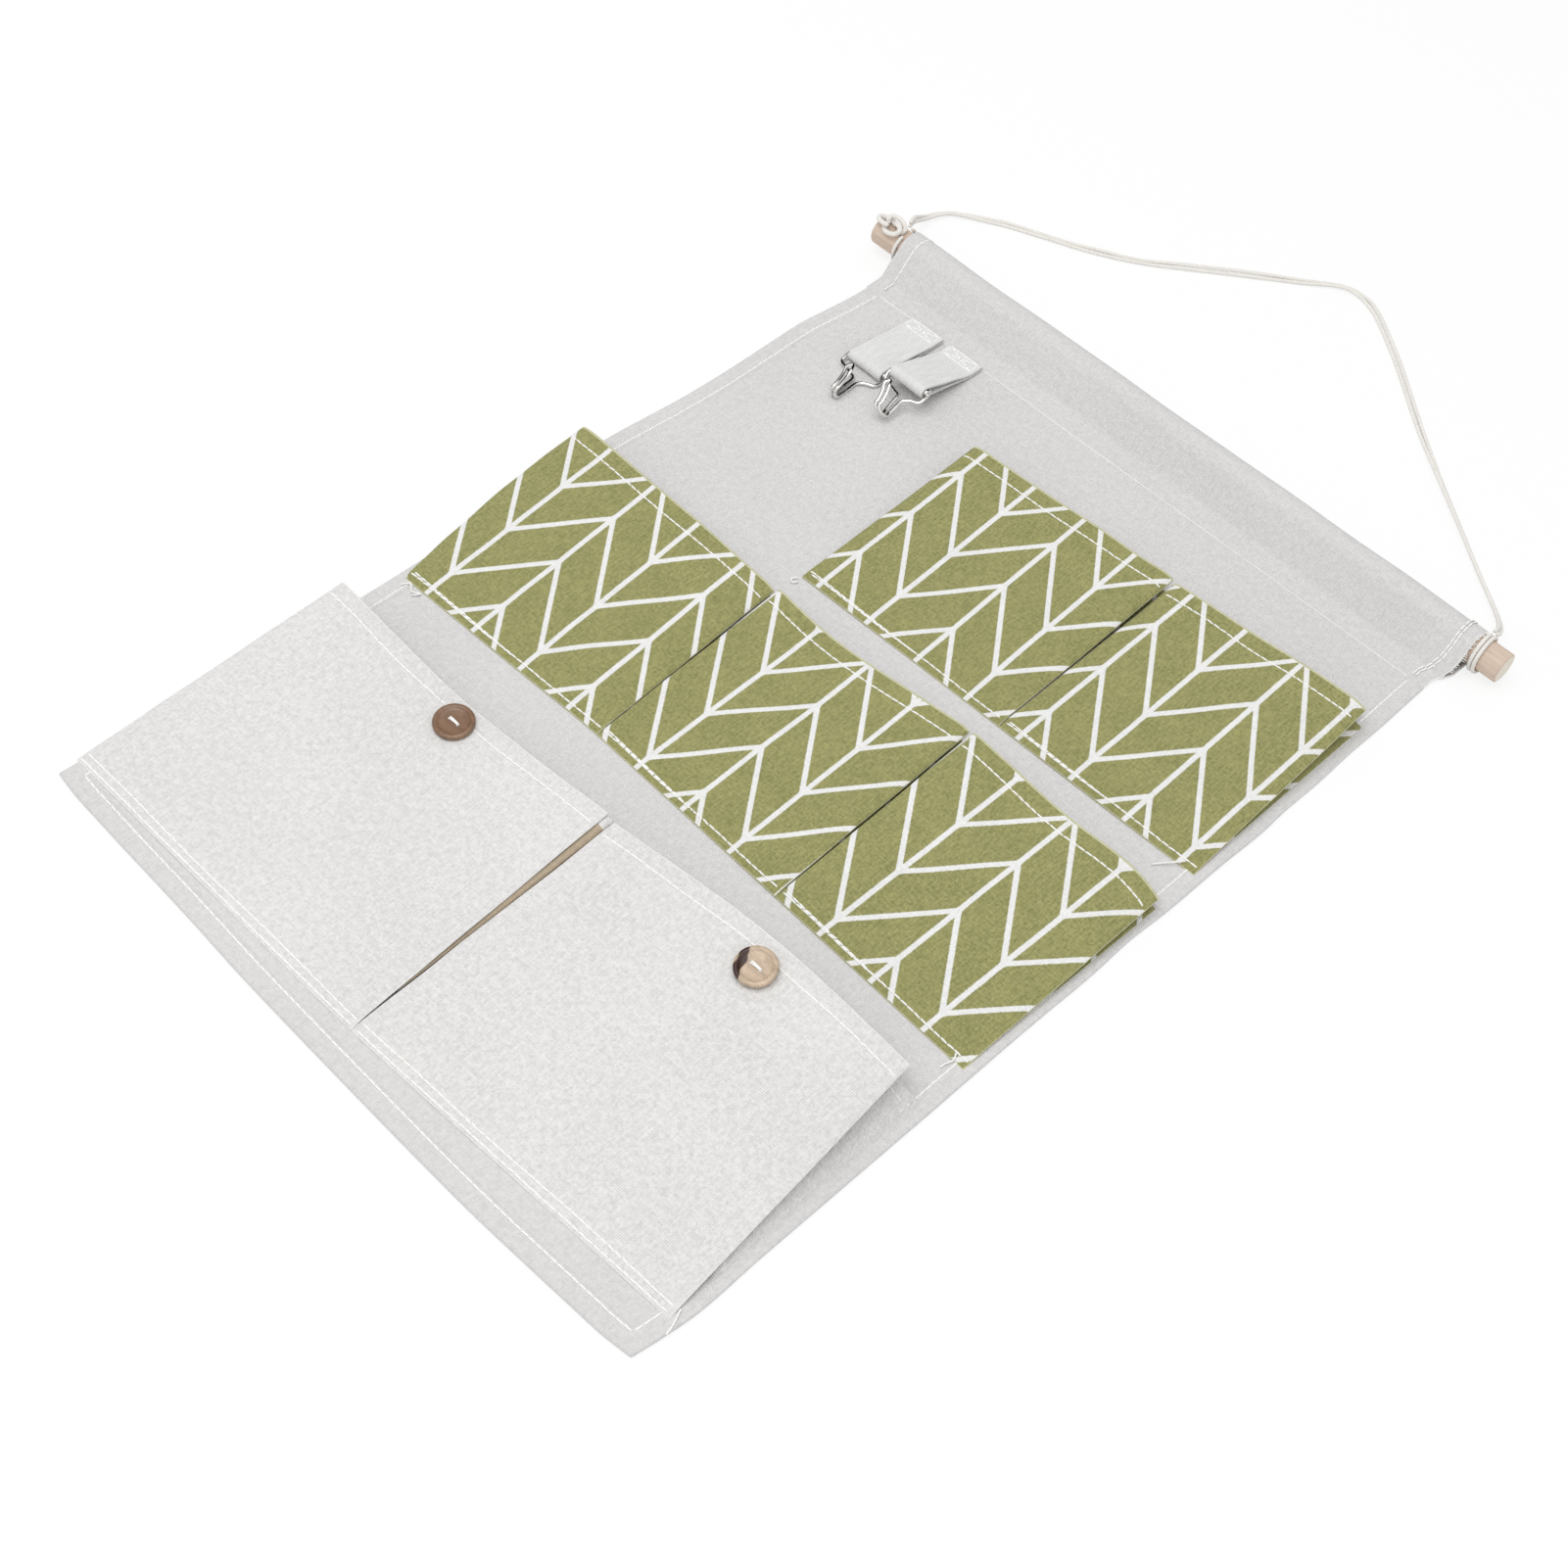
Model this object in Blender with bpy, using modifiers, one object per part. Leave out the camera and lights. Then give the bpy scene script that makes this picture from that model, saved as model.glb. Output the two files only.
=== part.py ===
"""Hanging pocket organizer: a cloth panel on a wooden dowel, laid flat on its back.

The panel lies in the XY plane with its pockets up (+Z) and the dowel along X at the +Y end.
Sizes are metres. Pieces are placed from the panel's lower left corner, and one empty moves
that corner so that the origin is the middle of the organizer's footprint on the floor.
"""

import math

import bmesh
import bpy
import numpy as np
from mathutils import Matrix

# Clearance kept between pieces that touch, and how far a cutter runs past what it cuts.
GAP = 0.0003
OVERRUN = 0.001

# Back panel, from its bottom hem to the seam under the dowel.
PANEL_W = 0.350
SEAM_Y = 0.488
PANEL_T = 0.0016
PANEL_CORNER_R = 0.002

# Dowel, and the sleeve of cloth that wraps it.
DOWEL_D = 0.015
DOWEL_OVERHANG = 0.020
SLEEVE_REACH = 0.019
DOWEL_CHAMFER = 0.0006
SLEEVE_T = 0.0012
SLEEVE_ROOT = 0.003

# Cotton cord: two strands run side by side, and the same cord is wound and knotted on the dowel.
CORD_D = 0.0024
LEFT_TURNS = 1.25
RIGHT_TURNS = 2.25
LEFT_WRAP_OFF = 0.0032
RIGHT_WRAP_OFF = 0.0020
KNOT_LOBE = 0.00165
KNOT_OFF = 0.0128
KNOT_LEAN = math.radians(-24)

# Cloth of the pockets and of their side pleats.
POCKET_T = 0.0010
PLEAT_T = 0.0008
PLEAT_START_SHARE = 0.34
PLEAT_INSET = 0.0006
HALF_SLIT_TOP = 0.0006
HALF_SLIT_BOTTOM = 0.0003

# How a pocket's top edge stands off the panel: at its left corner, at its right corner, and how
# much more than between them at its middle.
UPPER_1_STAND = (0.0083, 0.0103, 0.0)
UPPER_2_STAND = (0.0095, 0.0130, 0.0)
MIDDLE_1_STAND = (0.0098, 0.0077, 0.0005)
MIDDLE_2_STAND = (0.0084, 0.0112, -0.0022)
MIDDLE_3_STAND = (0.0112, 0.0080, 0.0)
LOWER_LEFT_STAND = (0.0155, 0.0149, -0.0028)
LOWER_RIGHT_STAND = (0.0140, 0.0164, 0.0032)

# Printed pockets: each row is a strip of this height, with pleats this deep at its top.
PRINT_H = 0.117
PRINT_PLEAT = 0.010
UPPER_X = 0.1196
UPPER_Y = 0.3115
UPPER_TILT = math.radians(1.3)
UPPER_SPLIT_SHARE = 0.5210
UPPER_SPLIT_TOP_SHARE = 0.5295
UPPER_MARGIN = 0.0049
MIDDLE_X = 0.0065
MIDDLE_Y = 0.1760
MIDDLE_SPLIT_SHARES = (0.3600, 0.6845)
MIDDLE_SPLIT_TOP_SHARES = (0.3425, 0.6800)
MIDDLE_MARGIN = 0.0055
MIDDLE_FLARE = 0.0150

# Plain lower pockets.
PLAIN_H = 0.132
PLAIN_PLEAT = 0.016
LOWER_X = 0.0010
LOWER_Y = 0.0122
LOWER_TILT = math.radians(0.9)
LOWER_SPLIT_SHARE = 0.5071
LOWER_MARGIN = 0.0053
LOWER_INSET_LEFT = 0.0058
LOWER_INSET_MIDDLE = 0.0020
LOWER_INSET_RIGHT = 0.0073

# Buttons on the lower pockets.
BUTTON_D = 0.018
BUTTON_T = 0.0026
BUTTON_RIM = 0.0022
BUTTON_DISH = 0.0009
BUTTON_HOLE_D = 0.0022
BUTTON_HOLE_SPACING = 0.0054
THREAD_D = 0.0010
BUTTON_LEFT_ACROSS_SHARE = 0.556
BUTTON_LEFT_UP_SHARE = 0.881
BUTTON_RIGHT_ACROSS_SHARE = 0.545
BUTTON_RIGHT_UP_SHARE = 0.922

# Webbing tabs: a sewn end on the panel and a loop that holds the wire hook.
TAB_W = 0.021
TAB_T = 0.0012
TAB_DROP = 0.0115
TAB_SEWN = 0.0085
TAB_LENGTH = 0.0465
TAB_LEFT_X = 0.0428
TAB_RIGHT_X = 0.0687
TAB_BORE_R = 0.0017
TAB_ROOT = 0.006
TAB_RIGHT_LIFT = math.radians(12)

# Wire hooks: a double hook of one wire, whose bar lies in the tab's loop.
WIRE_D = 0.0017
HOOK_LEFT_REACH = 0.0285
HOOK_RIGHT_REACH = 0.0235
HOOK_RIGHT_DROOP = math.radians(13)
HOOK_THROAT = 0.0046
HOOK_FLARE = 0.0030
HOOK_LIP_SHARE = 0.44
HOOK_TOP_SHARE = 0.36
HOOK_SHOULDER_SHARE = 0.26
BAR_OVERHANG = 0.0012

# Route of the hanging cord, from the left knot to the right wraps, in metres: how far to the
# right of the dowel's middle and how far above its axis, and how far the lower strand is lifted
# off the floor. It is drawn for a panel of this width, and drawn out with a wider one.
ROUTE_PANEL_W = 0.350
CORD_ROUTE = (
    (-0.1845, 0.0101, 0.0147),
    (-0.1872, 0.0170, 0.0120),
    (-0.1897, 0.0242, 0.0068),
    (-0.1906, 0.0340, 0.0019),
    (-0.1880, 0.0425, 0.0002),
    (-0.1810, 0.0490, 0.0),
    (-0.1627, 0.0615, 0.0),
    (-0.1376, 0.0731, 0.0),
    (-0.1187, 0.0831, 0.0),
    (-0.1000, 0.0948, 0.0),
    (-0.0800, 0.1096, 0.0),
    (-0.0590, 0.1281, 0.0),
    (-0.0343, 0.1491, 0.0),
    (-0.0187, 0.1618, 0.0),
    (-0.0082, 0.1648, 0.0),
    (0.0015, 0.1610, 0.0),
    (0.0111, 0.1552, 0.0),
    (0.0355, 0.1388, 0.0),
    (0.0677, 0.1113, 0.0),
    (0.0985, 0.0849, 0.0),
    (0.1243, 0.0650, 0.0),
    (0.1492, 0.0457, 0.0),
    (0.1640, 0.0360, 0.0001),
    (0.1747, 0.0282, 0.0018),
    (0.1790, 0.0198, 0.0066),
    (0.1790, 0.0107, 0.0136),
)
# Quarter turns of the pair at the same points: one strand over the other is 1, side by side is 0.
CORD_ROLL = (1.0, 0.95, 0.9, 0.9, 0.95, 1.0, 1.0, 0.85, 0.6, 0.25, 0.0, 0.0, 0.0,
             0.0, 0.0, 0.0, 0.0, 0.0, 0.0, 0.0, 0.0, 0.1, 0.35, 0.55, 0.5, 0.3)
CORD_POINTS = 80
ROUTE_STEPS = 400

# Fineness of round shapes.
DOWEL_SIDES = 32
ARC_STEPS = 20
WRAP_STEPS = 24
BUTTON_STEPS = 28
TUBE_RESOLUTION = 2
HOOK_SAMPLES = 92
FRONT_COLUMNS = 8
FRONT_ROWS = 4

# Heights and sizes that follow from the ones above.
CLOTH_TOP = PANEL_T + GAP
UPPER_W = PANEL_W - UPPER_X - UPPER_MARGIN
MIDDLE_W = PANEL_W - MIDDLE_X - MIDDLE_MARGIN
LOWER_W = PANEL_W - LOWER_X - LOWER_MARGIN
LOWER_SPLIT = LOWER_SPLIT_SHARE * LOWER_W
DOWEL_L = PANEL_W + 2 * DOWEL_OVERHANG
DOWEL_Y = SEAM_Y + SLEEVE_REACH
WRAP_R = DOWEL_D / 2 + GAP + CORD_D / 2
DOWEL_Z = WRAP_R + CORD_D / 2
SLEEVE_R = (DOWEL_Z + DOWEL_D / 2 + GAP + SLEEVE_T) / 2
STRAND_PITCH = CORD_D + GAP
ORIGIN_Y = (DOWEL_Y + WRAP_R + CORD_D / 2) / 2
TAB_LOOP_R = TAB_BORE_R + TAB_T
TAB_TOP_Y = SEAM_Y - TAB_DROP
TAB_HINGE_Y = TAB_TOP_Y - TAB_SEWN - GAP
TAB_HINGE_Z = CLOTH_TOP + 2 * TAB_T
TAB_LOOP_LENGTH = TAB_LENGTH - TAB_SEWN - GAP - TAB_LOOP_R
BAR_Z = CLOTH_TOP + TAB_LOOP_R
PIECE_NAME = "hanging_pocket_organizer"


def material(name, colour, roughness, metallic=0.0):
    """Principled material with one colour."""
    mat = bpy.data.materials.new(name)
    mat.use_nodes = True
    shader = mat.node_tree.nodes["Principled BSDF"]
    shader.inputs["Base Color"].default_value = (*colour, 1.0)
    shader.inputs["Roughness"].default_value = roughness
    shader.inputs["Metallic"].default_value = metallic
    return mat


def new_collection(name):
    """Collection linked to the scene."""
    col = bpy.data.collections.new(name)
    bpy.context.scene.collection.children.link(col)
    return col


def add_object(name, data, parts, mat=None, parent=None, location=(0, 0, 0), rotation=(0, 0, 0)):
    """Put data in the scene as a named, placed object with one material."""
    obj = bpy.data.objects.new(name, data)
    parts.objects.link(obj)
    obj.parent = parent
    obj.location = location
    obj.rotation_euler = rotation
    if mat is not None:
        data.materials.append(mat)
    return obj


def add_empty(name, parts, parent=None, location=(0, 0, 0), rotation=(0, 0, 0)):
    """Frame that other pieces are placed in."""
    return add_object(name, None, parts, None, parent, location, rotation)


def smooth_round(mesh):
    """Smooth shading with sharp corners kept."""
    mesh.shade_smooth()
    mesh.set_sharp_from_angle(angle=math.radians(35))


def box_mesh(name, size):
    """Box with its lower corner at the mesh's origin."""
    mesh = bpy.data.meshes.new(name)
    bm = bmesh.new()
    bmesh.ops.create_cube(bm, size=1.0)
    half = Matrix.Translation((0.5, 0.5, 0.5))
    bmesh.ops.transform(bm, matrix=Matrix.Diagonal((*size, 1.0)) @ half, verts=bm.verts)
    bm.to_mesh(mesh)
    bm.free()
    return mesh


def cylinder_mesh(name, radius, depth, sides):
    """Cylinder along Z, centred."""
    mesh = bpy.data.meshes.new(name)
    bm = bmesh.new()
    bmesh.ops.create_cone(bm, cap_ends=True, segments=sides, radius1=radius, radius2=radius, depth=depth)
    bm.to_mesh(mesh)
    bm.free()
    return mesh


def smooth_route(points, count):
    """Samples, even in space, of the Catmull-Rom curve through the points."""
    pts = np.asarray(points, dtype=float)
    ends = (2 * pts[0] - pts[1], 2 * pts[-1] - pts[-2])
    pts = np.vstack([ends[0], pts, ends[1]])
    t = np.linspace(0.0, len(pts) - 3.0, ROUTE_STEPS)
    cell = np.minimum(t.astype(int), len(pts) - 4)
    u = (t - cell)[:, None]
    p0, p1, p2, p3 = (pts[cell + k] for k in range(4))
    curve = 0.5 * (2 * p1 + (p2 - p0) * u + (2 * p0 - 5 * p1 + 4 * p2 - p3) * u ** 2
                   + (3 * p1 - p0 - 3 * p2 + p3) * u ** 3)
    step = np.linalg.norm(np.diff(curve[:, :3], axis=0), axis=1)
    along = np.concatenate([[0.0], np.cumsum(step)])
    even = np.linspace(0.0, along[-1], count)
    return np.stack([np.interp(even, along, curve[:, k]) for k in range(curve.shape[1])], axis=1)


def tube_curve(name, points, diameter):
    """Round wire or cord along the points, with closed ends."""
    curve = bpy.data.curves.new(name, "CURVE")
    curve.dimensions = "3D"
    curve.bevel_depth = diameter / 2
    curve.bevel_resolution = TUBE_RESOLUTION
    curve.use_fill_caps = True
    spline = curve.splines.new("POLY")
    spline.points.add(len(points) - 1)
    for spot, point in zip(spline.points, points):
        spot.co = (*point, 1.0)
    return curve


def closed_outline(curve, points):
    """Add one closed straight-sided outline to a flat curve."""
    spline = curve.splines.new("POLY")
    spline.points.add(len(points) - 1)
    for spot, point in zip(spline.points, points):
        spot.co = (*point, 0.0, 1.0)
    spline.use_cyclic_u = True


def drop_outline(tip, tip_height, centre, radius):
    """Outline of a drop: flat below, round at the far end, one straight run down to the tip.

    The lower side runs from the tip to below the centre, the arc goes round the far side, and
    the upper side is the tangent from the tip's top corner to the circle.
    """
    dx = centre[0] - tip[0]
    dy = centre[1] - tip[1] - tip_height
    slope = math.atan2(dy, dx) + math.asin(radius / math.hypot(dx, dy))
    angles = np.linspace(-math.pi / 2, slope + math.pi / 2, ARC_STEPS)
    points = [(tip[0], tip[1])]
    points += [(centre[0] + radius * math.cos(a), centre[1] + radius * math.sin(a)) for a in angles]
    if tip_height > 0:
        points.append((tip[0], tip[1] + tip_height))
    return points


def loop_curve(name, length, radius, thickness, root, width):
    """Strip of cloth folded round a bar: a drop outline with a smaller drop cut out of it."""
    curve = bpy.data.curves.new(name, "CURVE")
    curve.dimensions = "2D"
    curve.fill_mode = "BOTH"
    curve.extrude = width / 2
    closed_outline(curve, drop_outline((0, 0), 2 * thickness, (length, radius), radius))
    closed_outline(curve, drop_outline((root, thickness), 0, (length, radius), radius - thickness))
    return curve


def add_panel(parts, frame, mat):
    """Flat back panel with just rounded corners."""
    size = (PANEL_W, SEAM_Y, PANEL_T)
    panel = add_object("back_panel", box_mesh("back_panel", size), parts, mat, frame)
    bevel = panel.modifiers.new("corners", "BEVEL")
    bevel.width = PANEL_CORNER_R
    bevel.segments = 2
    bevel.limit_method = "WEIGHT"
    weights = panel.data.attributes.new("bevel_weight_edge", "FLOAT", "EDGE")
    for edge in panel.data.edges:
        a, b = (panel.data.vertices[k].co for k in edge.vertices)
        upright = abs(a.z - b.z) > PANEL_T / 2
        weights.data[edge.index].value = 1.0 if upright and a.y < SEAM_Y / 2 else 0.0


def add_sleeve(parts, frame, mat):
    """Sleeve of cloth sewn shut round the dowel."""
    length = DOWEL_Y - SEAM_Y - GAP
    curve = loop_curve("dowel_sleeve", length, SLEEVE_R, SLEEVE_T, SLEEVE_ROOT, PANEL_W)
    add_object("dowel_sleeve", curve, parts, mat, frame, (PANEL_W / 2, SEAM_Y + GAP, 0),
               (math.pi / 2, 0, math.pi / 2))


def add_dowel(parts, hanger, mat):
    """Round wooden dowel with eased ends."""
    mesh = cylinder_mesh("dowel", DOWEL_D / 2, DOWEL_L, DOWEL_SIDES)
    dowel = add_object("dowel", mesh, parts, mat, hanger, (0, 0, 0), (0, math.pi / 2, 0))
    bevel = dowel.modifiers.new("eased_ends", "BEVEL")
    bevel.width = DOWEL_CHAMFER
    bevel.segments = 1
    bevel.limit_method = "ANGLE"
    bevel.angle_limit = math.radians(60)
    smooth_round(mesh)


def wrap_points(start_angle, turns, x_start, direction):
    """Helix round the dowel: one strand beside the next, closing up by a strand a turn."""
    steps = int(WRAP_STEPS * turns) + 1
    turn = np.linspace(0.0, turns, steps)
    angle = start_angle + 2 * math.pi * turn
    x = x_start + direction * STRAND_PITCH * turn
    return np.stack([x, WRAP_R * np.cos(angle), WRAP_R * np.sin(angle)], axis=1)


def knot_points():
    """Overhand knot: an open trefoil whose three lobes cross over and under, one of them to -X."""
    gap_angle = 0.30
    t = np.linspace(gap_angle, 2 * math.pi - gap_angle, 2 * WRAP_STEPS) + math.pi / 3
    reach = KNOT_LOBE * (2 + np.cos(3 * t))
    return np.stack([-reach * np.cos(2 * t), -reach * np.sin(2 * t), KNOT_LOBE * np.sin(3 * t)], axis=1)


def least_gap(points, diameter, skip):
    """Least clear distance between parts of one tube that aren't neighbours along it."""
    far = np.linalg.norm(points[:, None] - points[None], axis=2)
    index = np.arange(len(points))
    near = np.abs(index[:, None] - index[None]) < skip
    far[near] = np.inf
    return far.min() - diameter


def add_wraps_and_knot(parts, hanger, mat):
    """Turns of cord round both ends of the dowel, and the knot on the left end."""
    edge = PANEL_W / 2
    left = wrap_points(math.radians(60), LEFT_TURNS, -edge - LEFT_WRAP_OFF, -1)
    right = wrap_points(math.radians(47), RIGHT_TURNS, edge + RIGHT_WRAP_OFF, 1)
    for name, points in (("left_cord_wraps", left), ("right_cord_wraps", right)):
        add_object(name, tube_curve(name, points, CORD_D), parts, mat, hanger)
        print(f"{name}: least gap to itself {least_gap(points, CORD_D, WRAP_STEPS // 2):.4f} m")
    points = knot_points()
    lift = DOWEL_D / 2 + GAP + CORD_D / 2 + KNOT_LOBE
    place = (-edge - KNOT_OFF, -math.sin(KNOT_LEAN) * lift, math.cos(KNOT_LEAN) * lift)
    add_object("left_cord_knot", tube_curve("left_cord_knot", points, CORD_D), parts, mat, hanger,
               place, (KNOT_LEAN, 0, 0))
    print(f"left_cord_knot: least gap to itself {least_gap(points, CORD_D, WRAP_STEPS // 3):.4f} m")


def strand_points(side):
    """One strand of the cord: the pair's route, set off sideways by half a strand pitch.

    The offset lies square to the route, level where the roll is 0 and upright where it is 1,
    so the pair's middle stands as high as its roll needs for the lower strand to lie down.
    """
    route = np.asarray(CORD_ROUTE)
    ends = (route[0, 0], route[-1, 0])
    route[:, 0] += (PANEL_W - ROUTE_PANEL_W) / 2 * np.interp(route[:, 0], ends, (-1, 1))
    rolled = np.column_stack([route, np.asarray(CORD_ROLL) * math.pi / 2])
    path = smooth_route(rolled, CORD_POINTS)
    roll = path[:, 3][:, None]
    middle = path[:, :3].copy()
    middle[:, 2] += CORD_D / 2 + np.sin(path[:, 3]) * STRAND_PITCH / 2
    along = np.gradient(middle, axis=0)
    along /= np.linalg.norm(along, axis=1)[:, None]
    level = np.stack([along[:, 1], -along[:, 0], np.zeros(len(along))], axis=1)
    level /= np.linalg.norm(level, axis=1)[:, None]
    upright = np.cross(level, along)
    offset = (level * np.cos(roll) - upright * np.sin(roll)) * STRAND_PITCH / 2
    points = middle + side * offset
    points[:, 2] = np.maximum(points[:, 2], CORD_D / 2)
    return points


def add_cord(parts, hanger, mat):
    """The free cord from the left knot to the right wraps, as its two strands."""
    for name, side in (("hanging_cord_near", 1), ("hanging_cord_far", -1)):
        points = strand_points(side) - np.array([0, 0, DOWEL_Z])
        add_object(name, tube_curve(name, points, CORD_D), parts, mat, hanger)


def front_rise(stand, u, v):
    """How far a pocket front stands off at share u across it and share v up it."""
    left, right, crown = stand
    return (left + (right - left) * u + crown * math.sin(math.pi * u)) * v


def front_run(height, stand):
    """How far up the panel a pocket front reaches, for its height measured along the cloth."""
    return math.sqrt(height ** 2 - ((stand[0] + stand[1]) / 2) ** 2)


def front_mesh(name, bottom, top, height, stand):
    """Pocket front: a grid stretched to the pocket's four corners.

    It rises evenly from the sewn edge to its standing top, and is crowned or sags at mid-width.
    """
    mesh = bpy.data.meshes.new(name)
    bm = bmesh.new()
    bmesh.ops.create_grid(bm, x_segments=FRONT_COLUMNS, y_segments=FRONT_ROWS, size=1.0)
    run = front_run(height, stand)
    for vert in bm.verts:
        u = (vert.co.x + 1) / 2
        v = (vert.co.y + 1) / 2
        low = bottom[0] + (bottom[1] - bottom[0]) * u
        high = top[0] + (top[1] - top[0]) * u
        vert.co = (low + (high - low) * v - bottom[0], run * v, front_rise(stand, u, v))
    bm.to_mesh(mesh)
    bm.free()
    return mesh


def pleat_section(panel_x, front_x, fold_x, low, high):
    """One cut through a pleat: two slanting arms that meet at the inner fold."""
    middle = (low + high) / 2
    rise_low = (middle - low) / (fold_x - panel_x)
    rise_high = (high - middle) / (front_x - fold_x)
    inner_x = fold_x + 2 * PLEAT_T / (rise_high - rise_low)
    inner_z = middle + PLEAT_T + rise_low * (inner_x - fold_x)
    return [(panel_x, low), (panel_x, low + PLEAT_T), (inner_x, inner_z),
            (front_x, high - PLEAT_T), (front_x, high), (fold_x, middle)]


def pleat_mesh(name, side, bottom_x, top_x, panel_x, depth, run, stand):
    """Side pleat of a pocket, lofted between cuts from low on the pocket to its top.

    side is -1 for the pocket's left pleat and 1 for its right one.
    """
    mesh = bpy.data.meshes.new(name)
    bm = bmesh.new()
    rings = []
    for v in np.linspace(PLEAT_START_SHARE, 1.0, FRONT_ROWS):
        front_x = bottom_x + (top_x - bottom_x) * v - side * PLEAT_INSET
        sewn_x = panel_x - side * PLEAT_INSET
        inner = max(front_x, sewn_x) if side < 0 else min(front_x, sewn_x)
        section = pleat_section(sewn_x, front_x, inner - side * depth * v, 0.0, stand * v - GAP)
        rings.append([bm.verts.new((x, run * v, z)) for x, z in section])
    count = len(rings[0])
    for near, far in zip(rings, rings[1:]):
        for k in range(count):
            bm.faces.new((near[k], near[(k + 1) % count], far[(k + 1) % count], far[k]))
    bm.faces.new(rings[0])
    bm.faces.new(reversed(rings[-1]))
    bmesh.ops.recalc_face_normals(bm, faces=bm.faces)
    bm.to_mesh(mesh)
    bm.free()
    return mesh


def add_pocket(parts, row, name, bottom, top, stand, shape, mat):
    """One pocket: its front, hinged at the sewn lower edge, and its two side pleats."""
    height, depth = shape
    mesh = front_mesh(name, bottom, top, height, stand)
    front = add_object(f"{name}_front", mesh, parts, mat, row, (bottom[0], 0, CLOTH_TOP))
    cloth = front.modifiers.new("cloth", "SOLIDIFY")
    cloth.thickness = POCKET_T
    cloth.offset = 1.0
    run = front_run(height, stand)
    for word, side, k in (("left", -1, 0), ("right", 1, 1)):
        pleat = pleat_mesh(name, side, bottom[k], top[k], bottom[k], depth, run, stand[k])
        add_object(f"{name}_{word}_pleat", pleat, parts, mat, row, (0, 0, CLOTH_TOP))


def add_printed_rows(parts, frame, mat):
    """Upper row of two and middle row of three printed pockets."""
    shape = (PRINT_H, PRINT_PLEAT)
    low = HALF_SLIT_BOTTOM
    high = HALF_SLIT_TOP
    upper = add_empty("upper_row_frame", parts, frame, (UPPER_X, UPPER_Y, 0), (0, 0, UPPER_TILT))
    edges = (0, UPPER_SPLIT_SHARE * UPPER_W, UPPER_W)
    tops = (0, UPPER_SPLIT_TOP_SHARE * UPPER_W, UPPER_W)
    for k, stand in enumerate((UPPER_1_STAND, UPPER_2_STAND)):
        bottom = (edges[k] + low, edges[k + 1] - low)
        top = (tops[k] + high, tops[k + 1] - high)
        add_pocket(parts, upper, f"upper_pocket_{k + 1}", bottom, top, stand, shape, mat)
    middle = add_empty("middle_row_frame", parts, frame, (MIDDLE_X, MIDDLE_Y, 0))
    edges = (0, *(share * MIDDLE_W for share in MIDDLE_SPLIT_SHARES), MIDDLE_W)
    tops = (-MIDDLE_FLARE, *(share * MIDDLE_W for share in MIDDLE_SPLIT_TOP_SHARES), MIDDLE_W)
    for k, stand in enumerate((MIDDLE_1_STAND, MIDDLE_2_STAND, MIDDLE_3_STAND)):
        bottom = (edges[k] + low, edges[k + 1] - low)
        top = (tops[k] + high, tops[k + 1] - high)
        add_pocket(parts, middle, f"middle_pocket_{k + 1}", bottom, top, stand, shape, mat)


def add_plain_row(parts, frame, mat):
    """Two large plain pockets at the bottom."""
    shape = (PLAIN_H, PLAIN_PLEAT)
    row = add_empty("lower_row_frame", parts, frame, (LOWER_X, LOWER_Y, 0), (0, 0, LOWER_TILT))
    low = HALF_SLIT_BOTTOM
    left = (low, LOWER_SPLIT - low)
    left_top = (LOWER_INSET_LEFT, LOWER_SPLIT - LOWER_INSET_MIDDLE)
    right = (LOWER_SPLIT + low, LOWER_W)
    right_top = (LOWER_SPLIT + LOWER_INSET_MIDDLE, LOWER_W - LOWER_INSET_RIGHT)
    add_pocket(parts, row, "lower_pocket_left", left, left_top, LOWER_LEFT_STAND, shape, mat)
    add_pocket(parts, row, "lower_pocket_right", right, right_top, LOWER_RIGHT_STAND, shape, mat)
    return row


def button_mesh(name, parts, cutters):
    """Round button with a raised rim, a dished middle and two thread holes."""
    r = BUTTON_D / 2
    rim = r - BUTTON_RIM
    ease = BUTTON_DISH / 2
    face = BUTTON_T - BUTTON_DISH
    profile = ((0, face), (rim - ease, face), (rim, BUTTON_T - ease), (rim + ease, BUTTON_T),
               (r - ease, BUTTON_T), (r, BUTTON_T - ease), (r, ease), (r - ease, 0), (0, 0))
    mesh = bpy.data.meshes.new(name)
    bm = bmesh.new()
    spots = [bm.verts.new((x, 0, z)) for x, z in profile]
    for a, b in zip(spots, spots[1:]):
        bm.edges.new((a, b))
    bm.to_mesh(mesh)
    bm.free()
    blank = add_object(f"{name}_blank", mesh, parts)
    screw = blank.modifiers.new("turned", "SCREW")
    screw.steps = BUTTON_STEPS
    screw.render_steps = BUTTON_STEPS
    screw.use_merge_vertices = True
    screw.merge_threshold = 1e-5
    holes = []
    for k, side in enumerate((-1, 1)):
        depth = BUTTON_T + 2 * OVERRUN
        drill = cylinder_mesh(f"{name}_drill_{k}", BUTTON_HOLE_D / 2, depth, BUTTON_STEPS // 2)
        hole = add_object(f"{name}_drill_{k}", drill, cutters, None, None,
                          (side * BUTTON_HOLE_SPACING / 2, 0, BUTTON_T / 2))
        hole.hide_render = True
        hole.display_type = "WIRE"
        cut = blank.modifiers.new(f"hole_{k}", "BOOLEAN")
        cut.operation = "DIFFERENCE"
        cut.object = hole
        holes.append(hole)
    bpy.context.view_layer.update()
    evaluated = blank.evaluated_get(bpy.context.evaluated_depsgraph_get())
    result = bpy.data.meshes.new_from_object(evaluated)
    result.name = name
    for obj in (blank, *holes):
        bpy.data.objects.remove(obj)
    smooth_round(result)
    return result


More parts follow.
